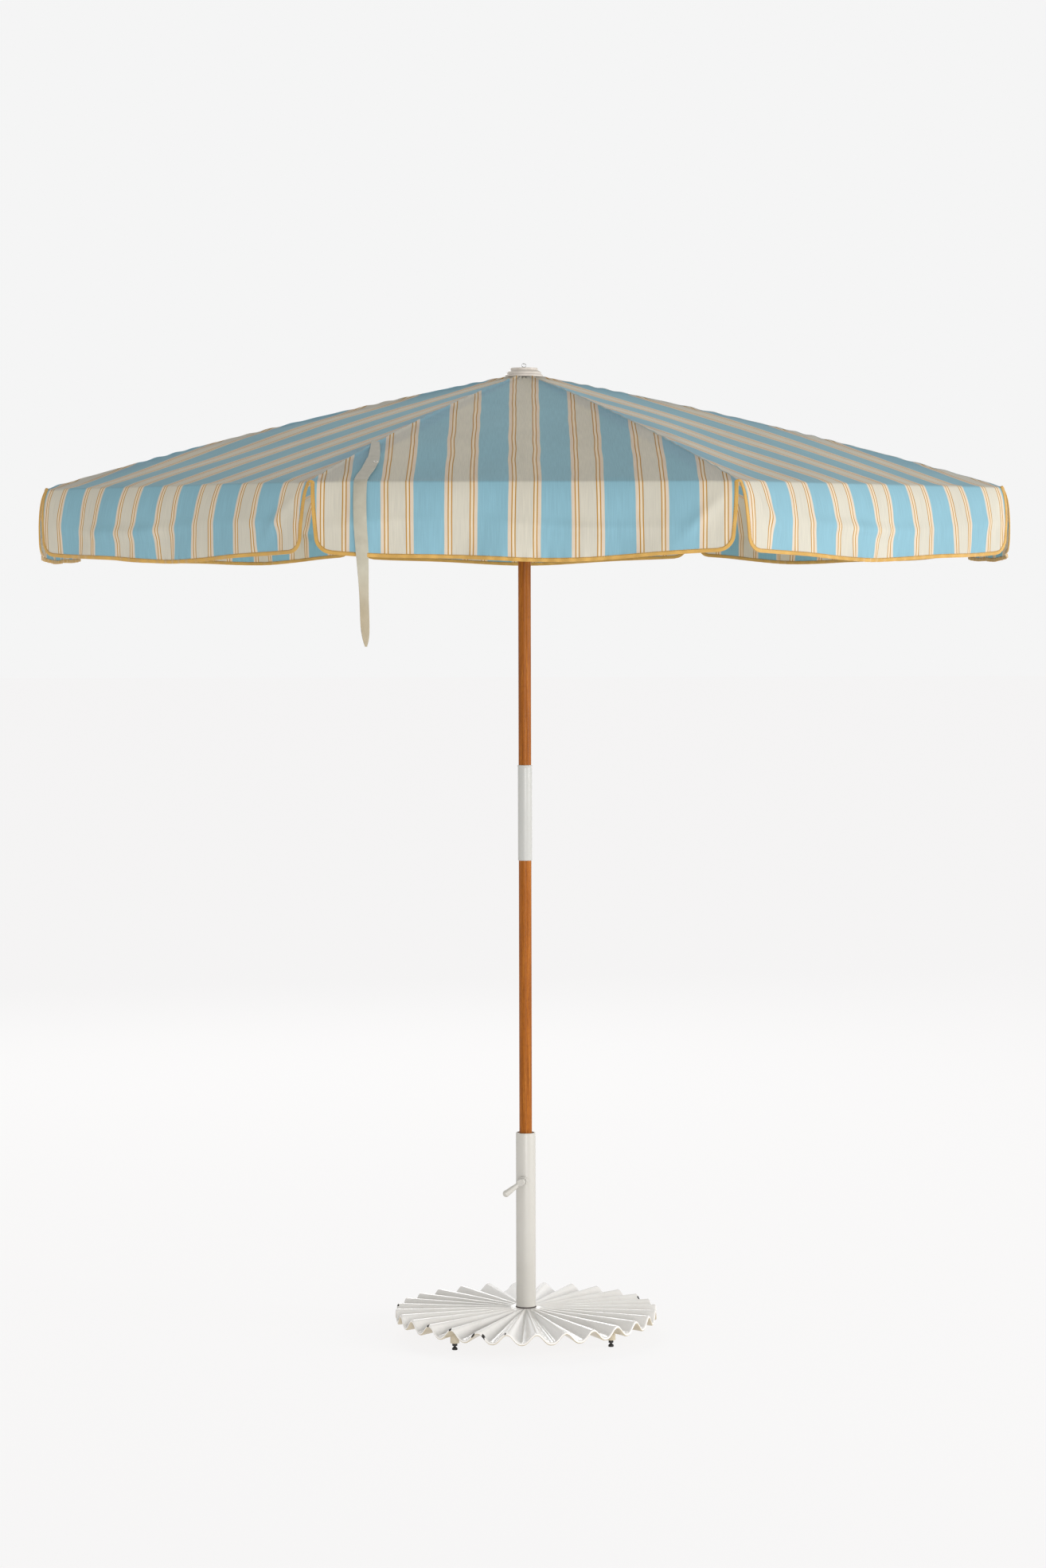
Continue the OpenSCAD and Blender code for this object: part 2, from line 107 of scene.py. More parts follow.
def surface(name, grid, material, wrap=(False, False), uv=None, flip=False):
    """A grid of points, (rows, columns, xyz), as a mesh of quads with smooth shading. wrap closes
    it along its rows or its columns, and uv is the same grid's place on the flat cloth."""
    rows, cols = grid.shape[:2]
    index = np.arange(rows * cols).reshape(rows, cols)
    if wrap[0]:
        index = np.vstack([index, index[:1]])
    if wrap[1]:
        index = np.hstack([index, index[:, :1]])
    quads = np.stack([index[:-1, :-1], index[:-1, 1:], index[1:, 1:], index[1:, :-1]], -1).reshape(-1, 4)
    if flip:
        quads = quads[:, ::-1]
    mesh = bpy.data.meshes.new(name)
    mesh.from_pydata(grid.reshape(-1, 3).tolist(), [], quads.tolist())
    if uv is not None:
        layer = mesh.uv_layers.new(name="cloth")
        layer.data.foreach_set("uv", uv.reshape(-1, 2)[quads.ravel()].astype(np.float32).ravel())
    mesh.shade_smooth()
    mesh.materials.append(material)
    piece = bpy.data.objects.new(name, mesh)
    bpy.context.scene.collection.objects.link(piece)
    return piece


# Matt floor paint: it glows by itself, and so shows only a faint shadow.
floor_paint = blank("matt_white_floor_paint", {
    "Base Color": linear("5A5A59"), "Roughness": 0.95, "Specular IOR Level": 0.0,
    "Emission Color": linear("EEEDED"), "Emission Strength": 1.0})[0]
FLOOR_REACH = 60.0
ends = np.linspace(-FLOOR_REACH, FLOOR_REACH, 3)
across, along = np.meshgrid(ends, ends)
floor = surface("floor", np.stack([across, along, 0 * across], -1), floor_paint)

world = bpy.data.worlds.new("white_walls")
bpy.context.scene.world = world
world.use_nodes = True
walls = world.node_tree
lit = walls.nodes["Background"]
direction = add(walls, "TexCoord")
height = add(walls, "SeparateXYZ", {"Vector": direction.outputs["Generated"]})
WALL_FOOT, CEILING = 1.35, 0.33
glow = add(walls, "MapRange", {"Value": height.outputs["Z"], "From Min": 0.0, "From Max": 0.8,
                               "To Min": WALL_FOOT, "To Max": CEILING})
walls.links.new(glow.outputs[0], lit.inputs["Strength"])
lit.inputs["Color"].default_value = linear("FFFFFF")
seen = add(walls, "Background", {"Color": linear("F5F5F5"), "Strength": 1.0})
path = add(walls, "LightPath")
both = add(walls, "MixShader", {0: path.outputs["Is Camera Ray"], 1: lit.outputs[0], 2: seen.outputs[0]})
walls.links.new(both.outputs[0], walls.nodes["World Output"].inputs["Surface"])


def softbox(name, place, aim, size, watts, colour="FFFFFF"):
    """A square area light at a place, facing an aim."""
    light = bpy.data.lights.new(name, "AREA")
    light.size = size
    light.energy = watts
    light.color = linear(colour)[:3]
    lamp = bpy.data.objects.new(name, light)
    lamp.location = place
    lamp.rotation_euler = (Vector(aim) - Vector(place)).to_track_quat("-Z", "Y").to_euler()
    lamp.visible_camera = False
    bpy.context.scene.collection.objects.link(lamp)
    return lamp


softbox("key_light", (7.6, -2.6, 2.5), (0, 0, 1.9), 3.0, 370)
low_light = softbox("front_light", (1.5, -12.0, 1.0), (0, 0, 1.6), 3.0, 560)
softbox("back_light", (-1.0, 6.0, 4.2), (0, 1, 1.9), 3.0, 160)

# The front light stands so low that it would burn a white patch into the floor, so it leaves
# the floor out.
left_out = bpy.data.collections.new("out_of_the_front_light")
left_out.objects.link(floor)
low_light.light_linking.receiver_collection = left_out
left_out.collection_objects[0].light_linking.link_state = "EXCLUDE"

# ---------------------------------------------------------------- Fluted base plate
# Sand-cast iron, one shell with twenty-eight flutes that run out to a scalloped rim.
# It is dipped in thick cream-white vitreous enamel, which has crazed a little and chipped
# to the dark iron along the rim.

FLUTES = 28
CREST_TURN = np.radians(274.5)
FLUTE_DEPTH = 0.024
PLATE_THICK = 0.008
HUB_R = 0.030
BORE_R = 0.0086
BEAD_R = PLATE_THICK / 2
FALL_POWER, CREST_POWER = 0.85, 1.25
plate_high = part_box("base_casting")[1]
RIM_R = plate_high.x
CREST_Z = plate_high.z


def flute_top(r, a):
    """Height of the plate's top: flat at the hub, and falling with the radius by the share of a
    raised cosine that leaves the crests narrow and the troughs wide."""
    fall = FLUTE_DEPTH * np.clip((r - HUB_R) / (RIM_R - HUB_R), 0, 1) ** FALL_POWER
    wave = (0.5 + 0.5 * np.cos(FLUTES * (a - CREST_TURN))) ** CREST_POWER
    return CREST_Z - fall * (1 - wave)


def wall(r):
    """Thickness of the shell: the rim's, and up to 5 mm more towards the hub."""
    return PLATE_THICK + 0.005 * np.clip(1 - r / (0.45 * RIM_R), 0, 1)


out = BORE_R + (RIM_R - BEAD_R - BORE_R) * np.linspace(0, 1, 46) ** 0.8
bead = np.linspace(0, np.pi, 11)[1:-1]
profile_r = np.concatenate([out, RIM_R - BEAD_R * (1 - np.sin(bead)), out[::-1]])[:, None]
profile_drop = np.concatenate([0 * out, BEAD_R * (1 - np.cos(bead)), wall(out[::-1])])[:, None]
turn = np.linspace(0, 2 * np.pi, FLUTES * 30, endpoint=False)[None, :]
hold_r = np.minimum(profile_r, RIM_R - BEAD_R)
plate_z = flute_top(hold_r, turn) - profile_drop
plate_grid = np.stack([profile_r * np.cos(turn), profile_r * np.sin(turn), plate_z], -1)

# Chips: their turn from the front towards the right in degrees, their distance in from the rim's top
# in mm, and their size in mm.
CHIPS = [(-23.3, 3, 5.5), (-18.6, 4, 5.0), (-34.6, 1, 4.5), (-47.4, 2, 4.5), (-49.5, -3, 4.0),
         (-55.5, -4, 3.5), (-25.2, -4, 4.0), (-27.5, -5, 3.0), (-9.0, 2, 2.2), (-37.2, -3, 2.6),
         (31.0, -4, 2.4), (62.0, -2, 3.0), (74.0, -3, 3.2), (118.0, 2, 4.0), (151.0, 1, 3.4),
         (187.0, 3, 4.6), (214.0, -2, 3.0), (263.0, 2, 3.4)]
chipped = np.full(plate_z.shape, -1.0)
for degrees, inset, size in CHIPS:
    a = np.radians(270 + degrees)
    along_rim = RIM_R * np.angle(np.exp(1j * (turn - a)))
    down_rim = (RIM_R - profile_r) + profile_drop - 0.001 * (inset + 1)
    near = 1 - np.hypot(along_rim, down_rim) / (0.001 * size)
    chipped = np.maximum(chipped, np.where(profile_drop < 0.99 * PLATE_THICK, near, -1))


def enamel(name, light, dark):
    """Thick fired glass on iron: a wet gloss over a slightly mottled cream, fine craze lines, and
    dark bare metal where the attribute "chipped" is above zero, with a ragged edge."""
    mottle_mm, ragged_mm, craze_mm = 71.4, 2.381, 45.45
    material, tree, shader = blank(name, {"IOR": 1.52, "Coat Weight": 0.15, "Coat Roughness": 0.06})
    place = add(tree, "TexCoord")
    wear = add(tree, "Attribute", attribute_name="chipped")
    mottle = add(tree, "TexNoise", {"Vector": place.outputs["Object"], "Scale": 1000 / mottle_mm,
                                    "Detail": 5.0})
    ragged = add(tree, "TexNoise", {"Vector": place.outputs["Object"], "Scale": 1000 / ragged_mm,
                                    "Detail": 3.0})
    edge = add(tree, "Math", {0: ragged.outputs["Fac"], 1: -0.9, 2: wear.outputs["Fac"]},
               operation="MULTIPLY_ADD")
    bare = add(tree, "MapRange", {"Value": edge.outputs[0], "From Min": -0.32, "From Max": -0.22})
    craze = add(tree, "TexVoronoi", {"Vector": place.outputs["Object"], "Scale": 1000 / craze_mm},
                feature="DISTANCE_TO_EDGE")
    hairline = add(tree, "MapRange", {"Value": craze.outputs["Distance"], "From Min": 0.0, "From Max": 0.012,
                                      "To Min": 0.12, "To Max": 0.0})
    glaze = add(tree, "Mix", {"Factor": mottle.outputs["Fac"], "A": linear(dark), "B": linear(light)},
                data_type="RGBA")
    crazed = add(tree, "Mix", {"Factor": hairline.outputs[0], "A": glaze.outputs["Result"],
                               "B": linear("8A8172")}, data_type="RGBA")
    chips = add(tree, "Mix", {"Factor": bare.outputs[0], "A": crazed.outputs["Result"],
                              "B": linear("17120F")}, data_type="RGBA")
    gloss = add(tree, "MapRange", {"Value": bare.outputs[0], "To Min": 0.22, "To Max": 0.75})
    step = add(tree, "Math", {0: bare.outputs[0], 1: -1.0, 2: mottle.outputs["Fac"]},
               operation="MULTIPLY_ADD")
    relief = add(tree, "Bump", {"Height": step.outputs[0], "Strength": 0.12, "Distance": 0.0010})
    tree.links.new(chips.outputs["Result"], shader.inputs["Base Color"])
    tree.links.new(gloss.outputs[0], shader.inputs["Roughness"])
    tree.links.new(relief.outputs[0], shader.inputs["Normal"])
    return material


def recoat(names, material):
    """Gives CAD parts their material."""
    for name in names:
        slots = frame["nodes"][name].data.materials
        slots.clear()
        slots.append(material)


plate = surface("enamelled_plate", plate_grid, enamel("cream_vitreous_enamel_on_iron", "E4E1DD", "D8D4CF"),
                wrap=(True, True), flip=True)
plate.data.attributes.new("chipped", "FLOAT", "POINT").data.foreach_set(
    "value", chipped.astype(np.float32).ravel())
# Underneath, a darker and warmer copy of the same enamel: painted shade and painted warm bounce light.
enamel_painted_underside_shade = enamel("cream_enamel_with_painted_underside_shade", "C6BDA8", "A99A80")
plate.data.materials.append(enamel_painted_underside_shade)
face_row = np.arange(len(plate.data.polygons)) // len(turn[0])
BEAD_UNDER = 4   # rows of the rim's bead that face down
underside = face_row >= len(profile_r) - len(out) - BEAD_UNDER
plate.data.polygons.foreach_set("material_index", underside.astype(np.int32))
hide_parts("base_casting")
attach(plate, "base")
# The lugs under the plate take the same darker copy: painted shade.
recoat(["foot_lugs"], enamel_painted_underside_shade)

# ---------------------------------------------------------------- Levelling feet
# Four black rubber-shod screw feet in the lugs under the plate, each a waisted pad with
# a hexagon above it, moulded in one with its stud.

# Carbon-black rubber: dull, with a fine bloom of dust.
rubber, tree, shader = blank("black_moulded_rubber", {"Roughness": 0.72, "IOR": 1.5})
BLOOM_MM = 3.85
place = add(tree, "TexCoord")
bloom = add(tree, "TexNoise", {"Vector": place.outputs["Object"], "Scale": 1000 / BLOOM_MM, "Detail": 4.0})
dusty = add(tree, "Mix", {"Factor": bloom.outputs["Fac"], "A": linear("0E0D0C"), "B": linear("2A2826")},
            data_type="RGBA")
grain = add(tree, "Bump", {"Height": bloom.outputs["Fac"], "Strength": 0.3, "Distance": 0.0003})
tree.links.new(dusty.outputs["Result"], shader.inputs["Base Color"])
tree.links.new(grain.outputs[0], shader.inputs["Normal"])
recoat(["foot_1", "foot_2", "foot_3", "foot_4"], rubber)

# ---------------------------------------------------------------- Socket tube and clamp
# A length of steel pipe, brush-painted off-white, that stands on the plate on a dark
# gasket. A boss welded to its front takes the clamp screw, whose tapered lever ends
# in a ball. A dark plastic bush fills the gap between the pipe's mouth and the pole.


def rounded(corners, radius, steps=5):
    """A closed outline with each corner replaced by a curve: the quadratic one between the points
    that lie radius before and after the corner."""
    corners = np.array(corners, float)
    before = np.roll(corners, 1, 0) - corners
    after = np.roll(corners, -1, 0) - corners
    size = np.minimum(radius, 0.45 * np.minimum(np.hypot(*before.T), np.hypot(*after.T)))[:, None]
    start = corners + size * before / np.hypot(*before.T)[:, None]
    end = corners + size * after / np.hypot(*after.T)[:, None]
    t = np.linspace(0, 1, steps)[None, :, None]
    curve = (1 - t) ** 2 * start[:, None] + 2 * t * (1 - t) * corners[:, None] + t ** 2 * end[:, None]
    return curve.reshape(-1, 2)


def turned(name, outline, material, steps=96, flip=False):
    """A closed outline of (radius, height) points, turned about the pole's axis."""
    a = np.linspace(0, 2 * np.pi, steps, endpoint=False)[None, :]
    r, z = outline[:, :1], outline[:, 1:]
    grid = np.stack([r * np.cos(a), r * np.sin(a), z + 0 * a], -1)
    return surface(name, grid, material, wrap=(True, True), flip=flip)


def paint(name, light, dark, roughness, patch_mm=111.1):
    """Old brush paint on metal: two close tones in soft patches, fine specks, and a low orange-peel
    relief."""
    speck_mm, peel_mm = 2.632, 3.125
    material, tree, shader = blank(name, {"Roughness": roughness, "IOR": 1.47})
    place = add(tree, "TexCoord")
    patch = add(tree, "TexNoise", {"Vector": place.outputs["Object"], "Scale": 1000 / patch_mm,
                                   "Detail": 4.0})
    tone = add(tree, "Mix", {"Factor": patch.outputs["Fac"], "A": linear(dark), "B": linear(light)},
               data_type="RGBA")
    speck = add(tree, "TexNoise", {"Vector": place.outputs["Object"], "Scale": 1000 / speck_mm,
                                   "Detail": 2.0})
    spots = add(tree, "MapRange", {"Value": speck.outputs["Fac"], "From Min": 0.71, "From Max": 0.75,
                                   "To Min": 0.0, "To Max": 0.2})
    marked = add(tree, "Mix", {"Factor": spots.outputs[0], "A": tone.outputs["Result"],
                               "B": linear("8D8473")}, data_type="RGBA")
    peel = add(tree, "TexNoise", {"Vector": place.outputs["Object"], "Scale": 1000 / peel_mm,
                                  "Detail": 2.0})
    relief = add(tree, "Bump", {"Height": peel.outputs["Fac"], "Strength": 0.09, "Distance": 0.0004})
    tree.links.new(marked.outputs["Result"], shader.inputs["Base Color"])
    tree.links.new(relief.outputs[0], shader.inputs["Normal"])
    return material


tube_paint = paint("off_white_oil_paint_on_steel", "BFBCB5", "B5B1A9", 0.34)
tube_low, tube_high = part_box("base_tube")
TUBE_WALL = 0.0032
r, z0, z1 = tube_high.x, tube_low.z, tube_high.z
tube_shape = [(r, z0), (r, z1), (r - TUBE_WALL, z1), (r - TUBE_WALL, z0)]
tube = turned("socket_tube", rounded(tube_shape, 0.0013), tube_paint, flip=True)
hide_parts("base_tube")
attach(tube, "base")
recoat(["clamp_boss", "clamp_lever"], tube_paint)

gasket_rubber = paint("dark_brown_gasket", "3B2C25", "241A16", 0.6)
moulded = paint("black_moulded_polypropylene", "2A2623", "1A1716", 0.5)
recoat(["tube_gasket"], gasket_rubber)
recoat(["pole_bush", "runner_knob"], moulded)

# Bright zinc that has dulled: a bluish grey metal with soft spangles and a satin gloss.
zinc, tree, shader = blank("zinc_plated_steel", {"Metallic": 1.0})
SPANGLE_MM = 5.556
place = add(tree, "TexCoord")
spangle = add(tree, "TexNoise", {"Vector": place.outputs["Object"], "Scale": 1000 / SPANGLE_MM,
                                 "Detail": 4.0})
tone = add(tree, "Mix", {"Factor": spangle.outputs["Fac"], "A": linear("8F9092"), "B": linear("C2C2C0")},
           data_type="RGBA")
dull = add(tree, "MapRange", {"Value": spangle.outputs["Fac"], "To Min": 0.28, "To Max": 0.5})
tree.links.new(tone.outputs["Result"], shader.inputs["Base Color"])
tree.links.new(dull.outputs[0], shader.inputs["Roughness"])
recoat(["tube_plug", "anchor_bolt", "clamp_pad", "sleeve_screws", "crown_pins", "runner_pins",
        "finial_eye"], zinc)

# ---------------------------------------------------------------- Wooden pole
# Two turned poles of oiled and varnished beech, stained orange-brown, that meet inside
# the sleeve. The grain runs straight up, with short dark flecks.

# Straight-grained wood under thin varnish: long soft bands a few mm apart, fine dark pores, satin gloss.
beech, tree, shader = blank("varnished_orange_beech", {
    "IOR": 1.45, "Specular IOR Level": 0.15, "Coat Weight": 0.02, "Coat Roughness": 0.2})
GRAIN_MM = 5.0
FLECK_MM = 1.1
SHADE_MM = 434.8
place = add(tree, "TexCoord")
along = add(tree, "Mapping", {"Vector": place.outputs["Object"], "Scale": (1, 1, 0.035)})
bands = add(tree, "TexNoise", {"Vector": along.outputs[0], "Scale": 1000 / GRAIN_MM, "Detail": 4.0,
                               "Distortion": 0.6})
short = add(tree, "Mapping", {"Vector": place.outputs["Object"], "Scale": (1, 1, 0.09)})
flecks = add(tree, "TexNoise", {"Vector": short.outputs[0], "Scale": 1000 / FLECK_MM, "Detail": 3.0})
lengths = add(tree, "TexNoise", {"Vector": place.outputs["Object"], "Scale": 1000 / SHADE_MM, "Detail": 2.0})
wood = add(tree, "ValToRGB", {"Fac": bands.outputs["Fac"]})
ramp = wood.color_ramp
ramp.elements[0].position = 0.28
ramp.elements[0].color = linear("7A420B")
ramp.elements[1].position = 0.72
ramp.elements[1].color = linear("AD6A24")
middle = ramp.elements.new(0.5)
middle.color = linear("965414")
pore = add(tree, "MapRange", {"Value": flecks.outputs["Fac"], "From Min": 0.36, "From Max": 0.46,
                              "To Min": 0.55, "To Max": 0.0})
dark = add(tree, "Mix", {"Factor": pore.outputs[0], "A": wood.outputs["Color"], "B": linear("6A3710")},
           data_type="RGBA")
shade = add(tree, "MapRange", {"Value": lengths.outputs["Fac"], "From Min": 0.3, "From Max": 0.7,
                               "To Min": 0.0, "To Max": 0.22})
warm = add(tree, "Mix", {"Factor": shade.outputs[0], "A": dark.outputs["Result"], "B": linear("8A4A14")},
           data_type="RGBA")
gloss = add(tree, "MapRange", {"Value": bands.outputs["Fac"], "To Min": 0.32, "To Max": 0.5})
relief = add(tree, "Bump", {"Height": flecks.outputs["Fac"], "Strength": 0.25, "Distance": 0.0004})
tree.links.new(warm.outputs["Result"], shader.inputs["Base Color"])
tree.links.new(gloss.outputs[0], shader.inputs["Roughness"])
tree.links.new(relief.outputs[0], shader.inputs["Normal"])
recoat(["lower_pole", "upper_pole"], beech)

# ---------------------------------------------------------------- Joining sleeve
# A drawn steel tube, painted off-white, screwed to the lower pole. Its mouth is rolled
# outwards a little so that the upper pole finds its way in.

sleeve_low, sleeve_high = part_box("pole_sleeve")
SLEEVE_WALL = 0.0017
SLEEVE_ROLL = 0.0009
sleeve_paint = paint("ivory_stove_enamel", "B7B6B2", "AFAEA9", 0.3)
r, z0, z1 = sleeve_high.x, sleeve_low.z, sleeve_high.z
sleeve_shape = [(r, z0), (r, z1 - 0.006), (r + SLEEVE_ROLL, z1 - 0.002), (r + SLEEVE_ROLL, z1),
                (r - SLEEVE_WALL + SLEEVE_ROLL / 2, z1), (r - SLEEVE_WALL, z1 - 0.005), (r - SLEEVE_WALL, z0)]
sleeve = turned("joining_sleeve", rounded(sleeve_shape, 0.0008), sleeve_paint, flip=True)
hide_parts("pole_sleeve")
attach(sleeve, "lower_pole")

# ---------------------------------------------------------------- Crown and runner
# Sand-cast aluminium hubs, slotted for the ribs and struts, with a rough as-cast skin.

# As-cast aluminium: a pale grey metal, dull, with the sand's grain in its skin.
cast, tree, shader = blank("sand_cast_aluminium", {"Metallic": 1.0})
SAND_MM = 0.8
place = add(tree, "TexCoord")
sand = add(tree, "TexNoise", {"Vector": place.outputs["Object"], "Scale": 1000 / SAND_MM, "Detail": 3.0})
tone = add(tree, "Mix", {"Factor": sand.outputs["Fac"], "A": linear("9C9C9A"), "B": linear("CFCFCC")},
           data_type="RGBA")
dull = add(tree, "MapRange", {"Value": sand.outputs["Fac"], "To Min": 0.45, "To Max": 0.7})
relief = add(tree, "Bump", {"Height": sand.outputs["Fac"], "Strength": 0.5, "Distance": 0.0003})
tree.links.new(tone.outputs["Result"], shader.inputs["Base Color"])
tree.links.new(dull.outputs[0], shader.inputs["Roughness"])
tree.links.new(relief.outputs[0], shader.inputs["Normal"])
recoat(["crown", "runner"], cast)

# ---------------------------------------------------------------- Finial cap
# A turned wooden cap, lacquered a greyish cream, that clamps the cloth on the crown. It has
# a rolled rim, a round shoulder and a flat top plate under the wire eye.

cap_low, cap_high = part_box("finial_cap")
CAP_WALL = 0.003
cap_lacquer = paint("aged_cream_lacquer", "CFC8BF", "B0A79C", 0.45, patch_mm=25)
rim, top, foot_z = cap_high.x, cap_high.z, cap_low.z
top_plate_r, stud_r = 0.0335, 0.0032
cap_shape = [(stud_r, top), (top_plate_r, top), (top_plate_r, top - 0.0042),
             (top_plate_r - 0.0003, top - 0.0052), (top_plate_r + 0.0034, top - 0.0072),
             (rim - 0.0048, foot_z + 0.0120), (rim - 0.0034, foot_z + 0.0064),
             (rim, foot_z + 0.0050), (rim, foot_z), (rim - CAP_WALL, foot_z),
             (rim - CAP_WALL - 0.001, foot_z + 0.003), (top_plate_r - 0.002, top - 0.0070),
             (stud_r, top - 0.0070)]
cap = turned("finial_cap_turned", rounded(cap_shape, 0.0016, steps=7), cap_lacquer, flip=True)
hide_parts("finial_cap")
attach(cap, "upper_pole")

# ---------------------------------------------------------------- Ribs and struts
# Rectangular steel tube, bent to a slight bow for the ribs, with riveted yokes, dipped in
# white paint.

rib_paint = paint("white_dipped_paint_on_steel", "E6E5E0", "D8D6CF", 0.4)
for k in range(1, 9):
    recoat([f"rib_{k}", f"strut_{k}"], rib_paint)

# ---------------------------------------------------------------- Canopy cloth
# Eight triangles of striped cotton canvas, sewn together along the ribs and cut with the
# stripes square to the edge. The cloth is drawn tight over the bowed ribs, dips a little
# between them, puckers along the seams and rolls over into the valance at the edge.

RIBS = 8
HALF = np.pi / RIBS
BOW = 0.013
DIP = 0.0065
CLOTH_THICK = 0.001
SEAM_LIFT = 0.0008
joints = {j["name"]: j for j in frame["joints"]}
root, tip, yoke = (np.array(joints[n]["pos_m"]) for n in ("rib_1_fold", "valance_1_hang", "strut_1_fold"))
PIVOT_R, PIVOT_Z = np.hypot(*root[:2]), root[2]
CORNER_R, EDGE_Z = np.hypot(*tip[:2]), tip[2]
SLOPE = np.arctan2(PIVOT_Z - yoke[2], np.hypot(*yoke[:2]) - PIVOT_R)
RISE = EDGE_Z - PIVOT_Z + (CORNER_R - PIVOT_R) * np.tan(SLOPE)
CHORD = (CORNER_R - 0.012 - PIVOT_R) / np.cos(SLOPE)
ARC_R = (CHORD ** 2 / 4 + BOW ** 2) / (2 * BOW)
EDGE_D = CORNER_R * np.cos(HALF)
RIB_TURN = [np.radians(270) - HALF + 2 * HALF * k for k in range(RIBS)]
FOLD_JOINT = joints["rib_1_fold"]
CLOSED = SLOPE + np.radians(FOLD_JOINT["range_deg"][1])


def cloth_z(d):
    """Height of the taut cloth at distance d from the axis, measured square to the edge: a straight
    slope and the ribs' bow on it."""
    r = d / np.cos(HALF)
    x = np.clip((r - PIVOT_R) / np.cos(SLOPE), 0, CHORD)
    bow = np.sqrt(ARC_R ** 2 - (x - CHORD / 2) ** 2) - ARC_R + BOW
    return PIVOT_Z + RISE - (r - PIVOT_R) * np.tan(SLOPE) + bow / np.cos(SLOPE) + SEAM_LIFT


def about_pole(turn, out, left, z):
    """Points out from the pole's axis towards turn, moved left across that line, and z high."""
    c, s = np.cos(turn), np.sin(turn)
    return np.stack([c * out - s * left, s * out + c * left, z], -1)


HEM_R = 0.010
HEM_FALL = np.radians(60)
steep = np.arctan2(cloth_z(EDGE_D - 0.02) - cloth_z(EDGE_D - 0.01), 0.01)
ROLL_D = EDGE_D + 0.0008 - HEM_R * (1 - np.sin(steep))
HEM_D = ROLL_D + HEM_R * (np.sin(HEM_FALL) - np.sin(steep))
HEM_Z = cloth_z(ROLL_D) - HEM_R * (np.cos(steep) - np.cos(HEM_FALL))
GORE_START = (PIVOT_R + 0.003) * np.cos(HALF)

straight = np.linspace(GORE_START, ROLL_D, 190)
bend = np.linspace(steep, HEM_FALL, 8)[1:]
row_d = np.concatenate([straight, ROLL_D + HEM_R * (np.sin(bend) - np.sin(steep))])[:, None]
row_z = np.concatenate([cloth_z(straight), cloth_z(ROLL_D) - HEM_R * (np.cos(steep) - np.cos(bend))])[:, None]
row_v = np.concatenate([[0], np.cumsum(np.hypot(np.diff(row_d[:, 0]), np.diff(row_z[:, 0])))])[:, None]
row_v = row_v + GORE_START


def dip(d, lateral):
    """How far the cloth dips between two ribs, at distance d from the axis and lateral from the
    panel's middle."""
    run = np.clip((d - GORE_START) / (ROLL_D - GORE_START), 0, 1)
    return DIP * np.sin(np.pi * run) ** 0.7 * np.clip(1 - (lateral / (d * np.tan(HALF))) ** 2, 0, 1)


def gore(k):
    """The cloth on both sides of rib k, from one panel's middle to the next: rows run parallel to
    the panels' edges, and columns crowd towards the rib. Its height is cloth_z, less a dip between
    the ribs, plus the seam's bead, its puckers, slow waves and the gathers under the cap. Returns
    the points and their places on the flat cloth."""
    reach = row_d * np.tan(HALF)
    inner = np.linspace(0, 1, 9)[None, :] * np.minimum(0.024, 0.5 * reach)
    outer = inner[:, -1:] + (reach - inner[:, -1:]) * np.linspace(0, 1, 22)[None, 1:]
    one_side = np.concatenate([inner, outer], 1)
    off_rib = np.concatenate([one_side[:, :0:-1], one_side], 1)
    side = np.sign(np.arange(off_rib.shape[1]) - one_side.shape[1] + 1)[None, :]
    lateral = reach - off_rib
    run = (row_d - GORE_START) / (ROLL_D - GORE_START)
    on_roof = np.clip((1 - run) / 0.02, 0, 1)
    along = row_d / np.cos(HALF)
    met = lateral ** 2 / (lateral ** 2 + 0.03 ** 2) * np.clip(off_rib / 0.05, 0, 1)
    bead = 0.0020 * np.exp(-(off_rib / 0.0050) ** 2)
    beat = 0.55 + 0.45 * np.sin(along * 23 + 1.7 * k)
    uneven = 2 * np.pi * along / 0.052 + 2.2 * np.sin(11 * along + 2.3 * k)
    pucker = 0.0013 * beat * np.sin(uneven) * np.exp(-off_rib / 0.02) * (off_rib < 0.6 * reach)
    slow = 0.0022 * np.sin(7.3 * along + 2.1 * k + 2.4 * side * off_rib / 0.2)
    gather = 0.0017 * np.exp(-((row_d - 0.049) / 0.012) ** 2) * np.cos(34 * lateral / row_d)
    z = row_z - dip(row_d, lateral) + on_roof * (bead + pucker + slow * met) + gather
    x = row_d * np.cos(HALF) + lateral * np.sin(HALF)
    y = side * (row_d * np.sin(HALF) - lateral * np.cos(HALF))
    points = about_pole(RIB_TURN[k], x, y, z)
    flat = np.stack([-np.where(side == 0, 1, side) * lateral, row_v + 0 * lateral], -1)
    return points, flat


STRIPE_MM = 136.0
# Half widths from the middle of a cream band, in mm, and the colour that starts there.
BANDS = [(0.0, "D6D3C8"), (18.3, "BE9138"), (20.7, "E6DCC8"), (25.6, "BE9138"), (28.0, "E0D3C2"),
         (35.2, "94BFD0")]
ONE_WAVE = 0.314  # the scale at which a wave texture makes one wave a unit
SLUB_MM, DRIFT_MM, FADE_MM = 1.923, 200, 333.3
THREAD_MM = 1.8   # coarser than the real 0.5 mm thread, so that the weave shows

